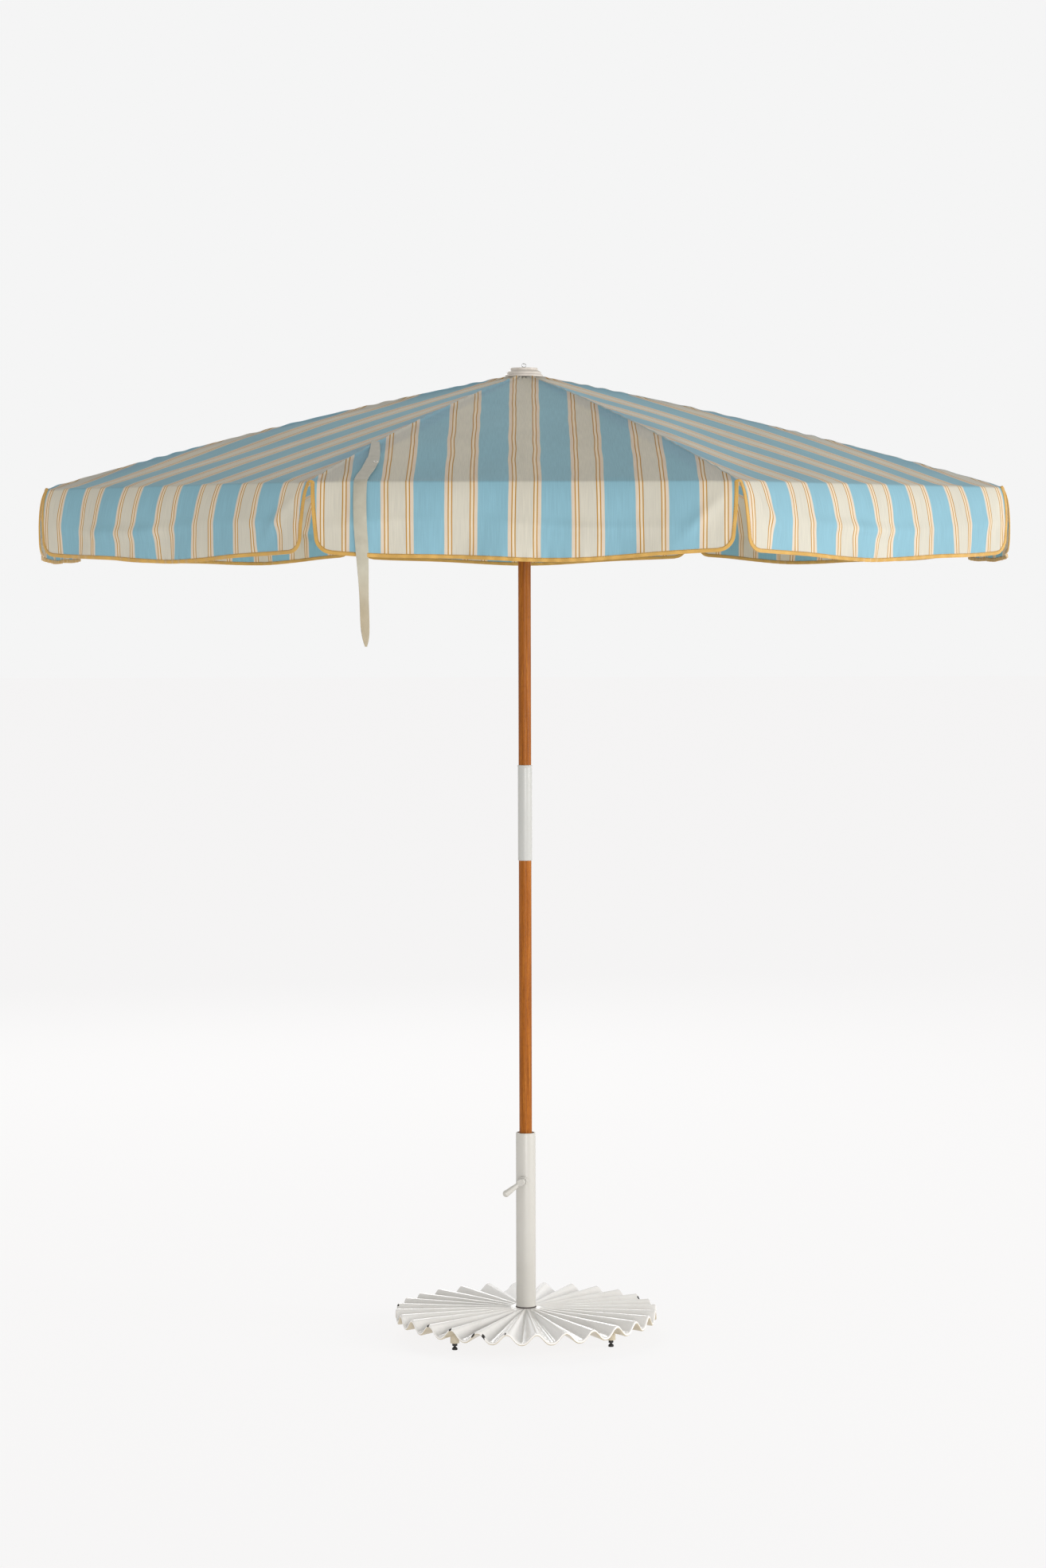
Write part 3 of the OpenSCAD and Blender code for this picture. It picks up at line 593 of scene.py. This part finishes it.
# Plain-woven cotton with dyed warp stripes: matt, faintly fuzzy, with slubs along the warp.
canvas, tree, shader = blank("striped_cotton_canvas", {
    "Roughness": 0.82, "Sheen Weight": 0.1, "Sheen Roughness": 0.5, "Specular IOR Level": 0.15})
flat_cloth = add(tree, "UVMap", uv_map="cloth")
split = add(tree, "SeparateXYZ", {"Vector": flat_cloth.outputs[0]})
drift = add(tree, "TexNoise", {"Vector": flat_cloth.outputs[0], "Scale": 1000 / DRIFT_MM, "Detail": 1.0})
wander = add(tree, "MapRange", {"Value": drift.outputs["Fac"], "To Min": -0.004, "To Max": 0.004})
across = add(tree, "Math", {0: split.outputs["X"], 1: wander.outputs[0]}, operation="ADD")
from_band = add(tree, "Math", {0: across.outputs[0], 1: STRIPE_MM / 2000}, operation="PINGPONG")
share = add(tree, "Math", {0: from_band.outputs[0], 1: 2000 / STRIPE_MM}, operation="MULTIPLY")
stripes = add(tree, "ValToRGB", {"Fac": share.outputs[0]})
ramp = stripes.color_ramp
SOFT_MM = 0.35
ramp.elements[0].position = 0
ramp.elements[0].color = linear(BANDS[0][1])
ramp.elements[1].position = 1
ramp.elements[1].color = linear(BANDS[-1][1])
for (start, code), (_, last) in zip(BANDS[1:], BANDS[:-1]):
    before = ramp.elements.new((start - SOFT_MM) / (STRIPE_MM / 2))
    before.color = linear(last)
    after = ramp.elements.new((start + SOFT_MM) / (STRIPE_MM / 2))
    after.color = linear(code)
slub_place = add(tree, "Mapping", {"Vector": flat_cloth.outputs[0], "Scale": (1, 0.03, 1)})
slub = add(tree, "TexNoise", {"Vector": slub_place.outputs[0], "Scale": 1000 / SLUB_MM, "Detail": 2.0})
fade = add(tree, "TexNoise", {"Vector": flat_cloth.outputs[0], "Scale": 1000 / FADE_MM, "Detail": 3.0})
slub_shade = add(tree, "MapRange", {"Value": slub.outputs["Fac"], "From Min": 0.3, "From Max": 0.7,
                                    "To Min": 0.94, "To Max": 1.05})
fade_shade = add(tree, "MapRange", {"Value": fade.outputs["Fac"], "From Min": 0.3, "From Max": 0.7,
                                    "To Min": 0.955, "To Max": 1.035})
uneven = add(tree, "Math", {0: slub_shade.outputs[0], 1: fade_shade.outputs[0]}, operation="MULTIPLY")
toned = add(tree, "VectorMath", {0: stripes.outputs["Color"], "Scale": uneven.outputs[0]}, operation="SCALE")
weave_place = add(tree, "Mapping", {"Vector": flat_cloth.outputs[0],
                                    "Scale": (1000 / THREAD_MM, 1000 / THREAD_MM, 1)})
warp = add(tree, "TexWave", {"Vector": weave_place.outputs[0], "Scale": ONE_WAVE}, bands_direction="X")
weft = add(tree, "TexWave", {"Vector": weave_place.outputs[0], "Scale": ONE_WAVE}, bands_direction="Y")
weave = add(tree, "Math", {0: warp.outputs["Fac"], 1: weft.outputs["Fac"]}, operation="MULTIPLY")
rough = add(tree, "Math", {0: slub.outputs["Fac"], 1: 0.7, 2: weave.outputs[0]}, operation="MULTIPLY_ADD")
relief = add(tree, "Bump", {"Height": rough.outputs[0], "Strength": 0.25, "Distance": 0.0003})
tree.links.new(toned.outputs[0], shader.inputs["Base Color"])
tree.links.new(relief.outputs[0], shader.inputs["Normal"])
# Unlined canvas lets some daylight through, and turns it a little yellow.
LET_THROUGH = 0.36
amber = add(tree, "Mix", {"Factor": 1.0, "A": toned.outputs[0], "B": linear("FFF3D0")}, data_type="RGBA",
            blend_type="MULTIPLY")
behind = add(tree, "BsdfTranslucent", {"Color": amber.outputs["Result"], "Normal": relief.outputs[0]})
cloth_mix = add(tree, "MixShader", {0: LET_THROUGH, 1: shader.outputs[0], 2: behind.outputs[0]})
tree.links.new(cloth_mix.outputs[0], tree.nodes["Material Output"].inputs["Surface"])


def thicken(piece, thick):
    """Gives a cloth surface its thickness, half to each side, with its cut edges sharp."""
    mesh = piece.data
    side_of = np.zeros(len(mesh.loops), int)
    mesh.loops.foreach_get("edge_index", side_of)
    sharp = mesh.attributes.get("sharp_edge") or mesh.attributes.new("sharp_edge", "BOOLEAN", "EDGE")
    marked = np.zeros(len(mesh.edges), bool)
    sharp.data.foreach_get("value", marked)
    sharp.data.foreach_set("value", marked | (np.bincount(side_of, minlength=len(mesh.edges)) == 1))
    solid = piece.modifiers.new("cloth_thickness", "SOLIDIFY")
    solid.thickness = thick
    solid.offset = 0


def squash_sideways(piece):
    """Gives the piece a mesh of its own."""
    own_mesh(piece)


for k in range(RIBS):
    points, flat = gore(k)
    cloth = surface(f"canopy_cloth_{k + 1}", points, canvas, uv=flat, flip=True)
    edges = np.zeros(len(cloth.data.edges) * 2, int)
    cloth.data.edges.foreach_get("vertices", edges)
    on_rib = (edges.reshape(-1, 2) % points.shape[1] == points.shape[1] // 2).all(1)
    cloth.data.attributes.new("sharp_edge", "BOOLEAN", "EDGE").data.foreach_set("value", on_rib)
    thicken(cloth, CLOTH_THICK)
    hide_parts(f"canopy_gore_{k + 1}")
    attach(cloth, f"rib_{k + 1}")
    squash_sideways(cloth)

# ---------------------------------------------------------------- Valance
# One flap of the same canvas hangs from each panel's edge, with its stripes running on.
# Its free edges are bound in ochre tape, which is folded over the cloth and topstitched.
# The flaps hang in loose waves, their lower edges sag, and the slits between them gape.

FLAP_HALF = EDGE_D * np.tan(HALF)
CORNER_FOOT_Z, MIDDLE_FOOT_Z = 1.913, 1.8955
CORNER_DROP = HEM_Z - CORNER_FOOT_Z
MIDDLE_DROP = HEM_Z - MIDDLE_FOOT_Z
FLAP_CORNER = 0.034


def flap_inset(y):
    """How far a flap's side edge stands in from the canopy's corner at depth y: the slit opens
    downwards."""
    return 0.0026 + 0.0105 * (np.clip(y, 0, None) / 0.14) ** 1.6


def flap_depth(a, k):
    """Depth of a flap's lower edge: sagging in the middle, with one slow wave."""
    sag = (MIDDLE_DROP - CORNER_DROP) * (1 - (a / FLAP_HALF) ** 2)
    return CORNER_DROP + sag + 0.0028 * np.sin(2 * np.pi * a / 0.52 + 1.9 * k + 0.4)


def flap_out(a, y, k):
    """How far the hanging cloth stands out from the vertical: it leaves the hem at the hem's slope
    and settles at full, more in the middle than at the sides. Added to that are waves along the
    edge that grow downwards, a soft level fold, a slanting crease near each side, small puckers
    along the binding and a curl at the free sides."""
    down = np.clip(y / 0.15, 0, 1.2)
    side = FLAP_HALF - np.abs(a)
    middle = 1 - (a / FLAP_HALF) ** 4
    full = 0.015 + 0.015 * middle
    belly = full * (1 - np.exp(-y / (np.tan(HEM_FALL) * full))) - 0.009 * np.clip(down - 0.35, 0, 1) ** 2
    slack = down ** 1.6 / (0.25 + down ** 0.6) * (0.35 + 0.65 * middle)
    skew = a + 0.45 * y
    wide = 0.0066 * np.sin(2 * np.pi * skew / 0.37 + 2.3 * k + 0.6)
    wide = wide + 0.0044 * np.sin(2 * np.pi * skew / 0.171 + 1.1 * k + 1)
    fold_at = 0.60 + 0.07 * np.sin(8 * a + 1.3 * k)
    level = 0.0068 * np.exp(-((down - fold_at) / 0.10) ** 2) * (0.6 + 0.4 * np.sin(11 * a + 2.2 * k))
    slant = side - 0.018 - 0.13 * down
    crease = 0.0068 * np.exp(-(slant / 0.021) ** 2) * np.sin(np.pi * np.clip(down, 0, 1)) ** 2
    crease = crease * (0.65 + 0.35 * np.sin(2.7 * k + 1.5 * np.sign(a)))
    pucker = 0.0009 * np.sin(2 * np.pi * a / 0.031 + 1.5 * np.sin(9 * a + k)) * np.exp(-(1.02 - down) / 0.10)
    curl = 0.004 * np.exp(-side / 0.02) * np.clip(down, 0, 1) ** 2
    return belly + wide * slack + level * middle + crease + pucker * np.clip(down, 0, 1) ** 2 + curl


def flap_place(a, y, k):
    """Where the point a along the edge from the panel's middle and y below the roll hangs."""
    return about_pole(RIB_TURN[k] + HALF, HEM_D + flap_out(a, y, k), a, HEM_Z - y)


def flap_outline(u, v, k):
    """The share u across and v down a flap as (a, y): the sides stand in by flap_inset, and near
    the foot by the rounded corner too."""
    lean = 2 * u - 1
    guess = lean * FLAP_HALF
    y = v * flap_depth(guess, k)
    up = np.clip(FLAP_CORNER - (flap_depth(guess, k) - y), 0, FLAP_CORNER)
    corner = FLAP_CORNER - np.sqrt(FLAP_CORNER ** 2 - (0.999 * up) ** 2)
    a = lean * (FLAP_HALF - flap_inset(y) - corner)
    return a, y


# Cotton twill tape: a close diagonal rib, darker in its grooves as painted shade, a soft sheen, and a row of
# darker stitches near its inner edge.
tape, tree, shader = blank("ochre_twill_binding", {
    "Roughness": 0.7, "Sheen Weight": 0.3, "Sheen Roughness": 0.4})
RIB_MM = 1.1
STITCH_MM = 3.6
STITCH_SHARE = 0.62   # of each stitch that shows on top
STITCH_IN, STITCH_HALF = 0.0072, 0.0005   # the row's distance from the cut edge, and half its width
AGE_MM = 45.45
flat_tape = add(tree, "UVMap", uv_map="cloth")
split = add(tree, "SeparateXYZ", {"Vector": flat_tape.outputs[0]})
lean_place = add(tree, "Mapping", {"Vector": flat_tape.outputs[0], "Rotation": (0, 0, np.radians(45)),
                                   "Scale": (1000 / RIB_MM, 1000 / RIB_MM, 1)})
twill = add(tree, "TexWave", {"Vector": lean_place.outputs[0], "Scale": ONE_WAVE}, bands_direction="X")
age = add(tree, "TexNoise", {"Vector": flat_tape.outputs[0], "Scale": 1000 / AGE_MM, "Detail": 4.0})
tone = add(tree, "Mix", {"Factor": age.outputs["Fac"], "A": linear("A87F36"), "B": linear("CFA453")},
           data_type="RGBA")
painted_groove_shade = add(tree, "MapRange", {"Value": twill.outputs["Fac"], "To Min": 0.86, "To Max": 1.06})
groove_shaded_tone = add(tree, "VectorMath", {0: tone.outputs["Result"], "Scale": painted_groove_shade.outputs[0]}, operation="SCALE")
beat = add(tree, "Math", {0: split.outputs["X"], 1: 1000 / STITCH_MM}, operation="MULTIPLY")
phase = add(tree, "Math", {0: beat.outputs[0]}, operation="FRACT")
thread = add(tree, "Math", {0: phase.outputs[0], 1: STITCH_SHARE}, operation="LESS_THAN")
off_line = add(tree, "Math", {0: split.outputs["Y"], 1: STITCH_IN, 2: STITCH_HALF}, operation="COMPARE")
stitch = add(tree, "Math", {0: thread.outputs[0], 1: off_line.outputs[0]}, operation="MULTIPLY")
sewn = add(tree, "Mix", {"Factor": stitch.outputs[0], "A": groove_shaded_tone.outputs[0], "B": linear("6E5222")},
           data_type="RGBA")
lift = add(tree, "Math", {0: stitch.outputs[0], 1: -1.2, 2: twill.outputs["Fac"]}, operation="MULTIPLY_ADD")
relief = add(tree, "Bump", {"Height": lift.outputs[0], "Strength": 0.5, "Distance": 0.0003})
tree.links.new(sewn.outputs["Result"], shader.inputs["Base Color"])
tree.links.new(relief.outputs[0], shader.inputs["Normal"])

TAPE_W = 0.009
TAPE_THICK = 0.0016
TAPE_PAST = 0.0006   # how far it reaches past the cloth's cut edge


def tape_section(width):
    """The folded tape's section, a flat loop with blunt rounded ends: across its width, and through
    it."""
    loop = np.linspace(0, 2 * np.pi, 14, endpoint=False)
    blunt = 0.35
    return (width / 2 * np.sign(np.cos(loop)) * np.abs(np.cos(loop)) ** blunt,
            TAPE_THICK * np.sign(np.sin(loop)) * np.abs(np.sin(loop)) ** blunt)


def binding(k):
    """The tape round flap k's free edge: a flat rounded loop carried down one side, along the foot
    and up the other. The loop's width runs from the cloth's edge inwards along the cloth, and its
    thickness along the normal."""
    down = np.linspace(0, 1, 60)
    over = np.linspace(0, 1, 190)[1:-1]
    u = np.concatenate([0 * down, over, 0 * down + 1])
    v = np.concatenate([down, 0 * over + 1, down[::-1]])
    a, y = flap_outline(u, v, k)
    ahead = np.stack([np.gradient(a), np.gradient(y)], -1)
    ahead /= np.maximum(np.hypot(*ahead.T), 1e-9)[:, None]
    inward = np.stack([ahead[:, 1], -ahead[:, 0]], -1)
    wide, thick = tape_section(TAPE_W)
    wide = wide + TAPE_W / 2 - TAPE_PAST
    a_in = a[:, None] + wide[None, :] * inward[:, :1]
    y_in = np.clip(y[:, None] + wide[None, :] * inward[:, 1:], 0.0004, None)
    place = flap_place(a_in, y_in, k)
    e = 0.001
    da = flap_place(a_in + e, y_in, k) - place
    dy = flap_place(a_in, y_in + e, k) - place
    normal = np.cross(dy, da)
    normal /= np.linalg.norm(normal, axis=-1, keepdims=True)
    points = place + normal * thick[None, :, None]
    length = np.concatenate([[0], np.cumsum(np.hypot(np.diff(a), np.diff(y)))])
    flat = np.stack([length[:, None] + 0 * wide[None, :], wide[None, :] + 0 * a[:, None]], -1)
    return points, flat


for k in range(RIBS):
    u, v = np.meshgrid(np.linspace(0, 1, 150), np.linspace(0, 1, 44) ** 0.85)
    a, y = flap_outline(u, v, k)
    flap = surface(f"valance_flap_{k + 1}", flap_place(a, y, k), canvas,
                   uv=np.stack([a, row_v[-1, 0] + y], -1), flip=True)
    thicken(flap, CLOTH_THICK)
    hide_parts(f"valance_{k + 1}")
    points, flat = binding(k)
    edge_tape = surface(f"valance_binding_{k + 1}", points, tape, wrap=(False, True), uv=flat)
    for piece in (flap, edge_tape):
        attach(piece, f"valance_{k + 1}")
        squash_sideways(piece)

# At the head of each slit the tape turns over in a small arch, tacked to the canopy's corner.
ARCH_HALF, ARCH_RISE, ARCH_W = 0.0068, 0.0042, 0.0062
for k in range(RIBS):
    phi = np.linspace(-0.15, np.pi + 0.15, 30)[:, None]
    wide, thick = tape_section(ARCH_W)
    s = (ARCH_HALF + wide) * np.cos(phi)   # along the edge from the slit's middle
    up = (ARCH_RISE + wide) * np.sin(phi)
    r = HEM_D / np.cos(HALF) - np.abs(s) * np.tan(HALF) - 0.55 * np.clip(up, 0, None) + 0.0012 + thick
    arch = surface(f"slit_binding_{k + 1}", about_pole(RIB_TURN[k], r, s, HEM_Z + up), tape,
                   wrap=(False, True), uv=np.stack([ARCH_HALF * phi + 0 * wide, wide + 0.003 + 0 * phi], -1))
    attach(arch, f"rib_{k + 1}")
    squash_sideways(arch)

# ---------------------------------------------------------------- Rib pockets
# A long tapered strip of the same canvas is sewn under each seam, and makes the pocket
# that holds the rib. When the umbrella is shut, these strips lie edge to edge round it.

POCKET_THICK = 0.0005
POCKET_GAP = 0.0022
for k in range(RIBS):
    r = np.linspace(PIVOT_R + 0.004, CORNER_R - 0.004, 120)[:, None]
    x = (r - PIVOT_R) / np.cos(SLOPE)
    closed_r = PIVOT_R + RISE + x * np.cos(CLOSED) + BOW * np.sin(np.pi * np.clip(x / CHORD, 0, 1))
    half_width = np.minimum(0.985 * closed_r * np.tan(HALF) - 0.0012, (CORNER_R - r) / np.tan(HALF) + 0.001)
    s = half_width * np.linspace(-1, 1, 15)[None, :]
    d = r * np.cos(HALF) + np.abs(s) * np.sin(HALF)
    lateral = r * np.sin(HALF) - np.abs(s) * np.cos(HALF)
    z = cloth_z(np.minimum(d, EDGE_D)) - dip(np.minimum(d, ROLL_D), lateral) - POCKET_GAP
    pocket = surface(f"rib_pocket_{k + 1}", about_pole(RIB_TURN[k], r, s, z), canvas,
                     uv=np.stack([-np.sign(s) * lateral, d + 0 * s], -1), flip=True)
    thicken(pocket, POCKET_THICK)
    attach(pocket, f"rib_{k + 1}")

# ---------------------------------------------------------------- Tie strap
# A length of cream cotton webbing, sewn into the seam at the front left, that ties the
# shut umbrella. It lies across the front panel, turns over the edge and hangs down free,
# and has a small metal eyelet near its seam.

# Narrow woven webbing: ribs along its length, darker between them as painted shade, a matt soft surface and
# faint grey soiling.
webbing, tree, shader = blank("cream_cotton_webbing", {"Roughness": 0.85, "Sheen Weight": 0.2})
CORD_MM = 1.8
SOIL_MM = 33.33
flat_web = add(tree, "UVMap", uv_map="cloth")
cord_place = add(tree, "Mapping", {"Vector": flat_web.outputs[0],
                                   "Scale": (1000 / CORD_MM, 1000 / CORD_MM, 1)})
cords = add(tree, "TexWave", {"Vector": cord_place.outputs[0], "Scale": ONE_WAVE}, bands_direction="X")
soil = add(tree, "TexNoise", {"Vector": flat_web.outputs[0], "Scale": 1000 / SOIL_MM, "Detail": 4.0})
tone = add(tree, "Mix", {"Factor": soil.outputs["Fac"], "A": linear("96917F"), "B": linear("B7B2A2")},
           data_type="RGBA")
# Towards the loose end, past 0.20 m along each length, the webbing is mixed browner.
split = add(tree, "SeparateXYZ", {"Vector": flat_web.outputs[0]})
toward_loose_end = add(tree, "MapRange", {"Value": split.outputs["Y"], "From Min": 0.20, "From Max": 0.30,
                                 "To Max": 0.6})
browner_loose_end = add(tree, "Mix", {"Factor": toward_loose_end.outputs[0], "A": tone.outputs["Result"], "B": linear("93805F")},
              data_type="RGBA")
# Darker in the grooves between the cords: painted shade.
shade = add(tree, "MapRange", {"Value": cords.outputs["Fac"], "To Min": 0.88, "To Max": 1.03})
groove_shaded_web = add(tree, "VectorMath", {0: browner_loose_end.outputs["Result"], "Scale": shade.outputs[0]}, operation="SCALE")
relief = add(tree, "Bump", {"Height": cords.outputs["Fac"], "Strength": 0.5, "Distance": 0.0005})
tree.links.new(groove_shaded_web.outputs[0], shader.inputs["Base Color"])
tree.links.new(relief.outputs[0], shader.inputs["Normal"])

STRAP_THICK = 0.0014


def smooth_route(knots, steps):
    """A smooth curve through the knots, (n, columns): Catmull-Rom, sampled evenly between them."""
    knots = np.array(knots, float)
    p = np.vstack([2 * knots[0] - knots[1], knots, 2 * knots[-1] - knots[-2]])
    t = np.linspace(0, len(knots) - 1, steps)
    i = np.minimum(t.astype(int), len(knots) - 2)
    f = (t - i)[:, None]
    a, b, c, d = p[i], p[i + 1], p[i + 2], p[i + 3]
    return 0.5 * (2 * b + (c - a) * f + (2 * a - 5 * b + 4 * c - d) * f ** 2
                  + (3 * b - a - 3 * c + d) * f ** 3)


def ribbon(name, route, across, half_width, curl=0.0):
    """A band along a route: at each point it runs half_width to each side along across, arched by
    curl."""
    w = np.linspace(-1, 1, 9)[None, :, None]
    normal = np.cross(np.gradient(route, axis=0), across)
    normal /= np.linalg.norm(normal, axis=1, keepdims=True)
    grid = route[:, None] + across[:, None] * w * half_width[:, None, None] - normal[:, None] * curl * w ** 2
    length = np.concatenate([[0], np.cumsum(np.linalg.norm(np.diff(route, axis=0), axis=1))])
    flat = np.stack([w[..., 0] * half_width[:, None], length[:, None] + 0 * w[..., 0]], -1)
    band = surface(name, grid, webbing, uv=flat)
    thicken(band, STRAP_THICK)
    return band


def on_panel(x, d, lift):
    """A point on the front panel, x to the right of its middle and d out from the axis, lifted off
    the cloth."""
    return np.stack([x, -d, cloth_z(d) + lift], -1)


# Across the roof, the strap is in two lengths that overlap at the eyelet: each route's x and
# distance from the axis, how far it stands off the cloth, and half its width.
FIRST = smooth_route([(-0.3315, 0.778, 0.0016, 0.0085), (-0.3305, 0.800, 0.0020, 0.0095),
                      (-0.3290, 0.860, 0.0024, 0.0115), (-0.3290, 0.920, 0.0024, 0.0130),
                      (-0.3305, 0.965, 0.0024, 0.0135)], 40)
SECOND = smooth_route([(-0.3295, 0.938, 0.0044, 0.0140), (-0.3325, 0.975, 0.0044, 0.0145),
                       (-0.3385, 1.025, 0.0036, 0.0145), (-0.3460, 1.065, 0.0030, 0.0145),
                       (-0.3500, ROLL_D - 0.003, 0.0028, 0.0145)], 50)
bands = []
for name, route in (("strap_sewn_end", FIRST), ("strap_on_roof", SECOND)):
    over = on_panel(route[:, 0], route[:, 1], route[:, 2])
    level = np.tile([1.0, 0, 0], (len(route), 1))
    bands.append(ribbon(name, over, level, route[:, 3]))
sewn_end, strap_top = bands
# Over the edge and down: x, how far it stands out in front of the hem, height, half width, twist.
LOWER = smooth_route([(-0.3500, ROLL_D - 0.003 - HEM_D, cloth_z(ROLL_D) + 0.0036, 0.0145, 0),
                      (-0.3508, 0.0032, EDGE_Z - 0.0015, 0.0143, 0),
                      (-0.3512, 0.0135, EDGE_Z - 0.018, 0.0141, 0),
                      (-0.3512, 0.0255, EDGE_Z - 0.045, 0.0140, 2),
                      (-0.3500, 0.0325, EDGE_Z - 0.090, 0.0140, 4),
                      (-0.3475, 0.0290, EDGE_Z - 0.130, 0.0140, 8),
                      (-0.3450, 0.0270, EDGE_Z - 0.173, 0.0135, 26),
                      (-0.3430, 0.0240, EDGE_Z - 0.218, 0.0135, 42),
                      (-0.3420, 0.0220, EDGE_Z - 0.252, 0.0135, 48),
                      (-0.3405, 0.0200, EDGE_Z - 0.306, 0.0135, 50),
                      (-0.3392, 0.0190, EDGE_Z - 0.333, 0.0098, 50),
                      (-0.3388, 0.0185, EDGE_Z - 0.351, 0.0030, 50)], 130)
hang = np.stack([LOWER[:, 0], -(HEM_D + LOWER[:, 1]), LOWER[:, 2]], -1)
twist = np.radians(LOWER[:, 4])
facing = np.stack([np.cos(twist), np.sin(twist), 0 * twist], -1)
strap_tail = ribbon("strap_hanging", hang, facing, LOWER[:, 3], curl=0.0012)
for piece, body in ((sewn_end, "strap_upper"), (strap_top, "strap_upper"), (strap_tail, "strap_lower")):
    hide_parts(body)
    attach(piece, body)

# The eyelet is a rolled ring of plated brass, riveted through the webbing. Its hole is filled by a flat black
# disc: painted shade.
nickel = paint("dulled_nickel_plate", "D9D7D0", "A9A69C", 0.3, patch_mm=5)
nickel.node_tree.nodes["Principled BSDF"].inputs["Metallic"].default_value = 0.9
EYELET_R = 0.0036
EYELET_ROLL = 0.0013
EYELET_FLAT = 0.6   # its roll is hammered to this share of its height
centre = on_panel(np.array([-0.3235]), np.array([0.970]), 0.0054)[0]
EYELET_D = 0.950   # where the roof's slope is taken, out from the axis
slope_there = np.arctan2(cloth_z(EYELET_D - 0.01) - cloth_z(EYELET_D + 0.01), 0.02)


def on_strap(right, up_roof, lift):
    """Points beside the eyelet's middle: to its right, up the roof's slope, and lifted square to
    it."""
    return np.stack([centre[0] + right,
                     centre[1] + up_roof * np.cos(slope_there) - lift * np.sin(slope_there),
                     centre[2] + up_roof * np.sin(slope_there) + lift * np.cos(slope_there)], -1)


ring_a, tube_a = np.meshgrid(np.linspace(0, 2 * np.pi, 40, endpoint=False),
                             np.linspace(0, 2 * np.pi, 14, endpoint=False))
ring_r = EYELET_R + EYELET_ROLL * np.cos(tube_a)
ring_lift = EYELET_FLAT * EYELET_ROLL * np.sin(tube_a)
ring = on_strap(ring_r * np.cos(ring_a), ring_r * np.sin(ring_a), ring_lift)
eyelet = surface("strap_eyelet", ring, nickel, wrap=(True, True))
# A flat black disc inside the ring stands for the shade in its hole: painted shade.
spoke = np.linspace(0.05, 1, 6)[:, None] * EYELET_R
disc_a = np.linspace(0, 2 * np.pi, 40, endpoint=False)[None, :]
disc = on_strap(spoke * np.cos(disc_a), spoke * np.sin(disc_a), 0)
eyelet_shade_disc = surface("strap_eyelet_painted_shade_disc", disc, moulded, wrap=(False, True))
for piece in (eyelet, eyelet_shade_disc):
    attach(piece, "strap_upper")
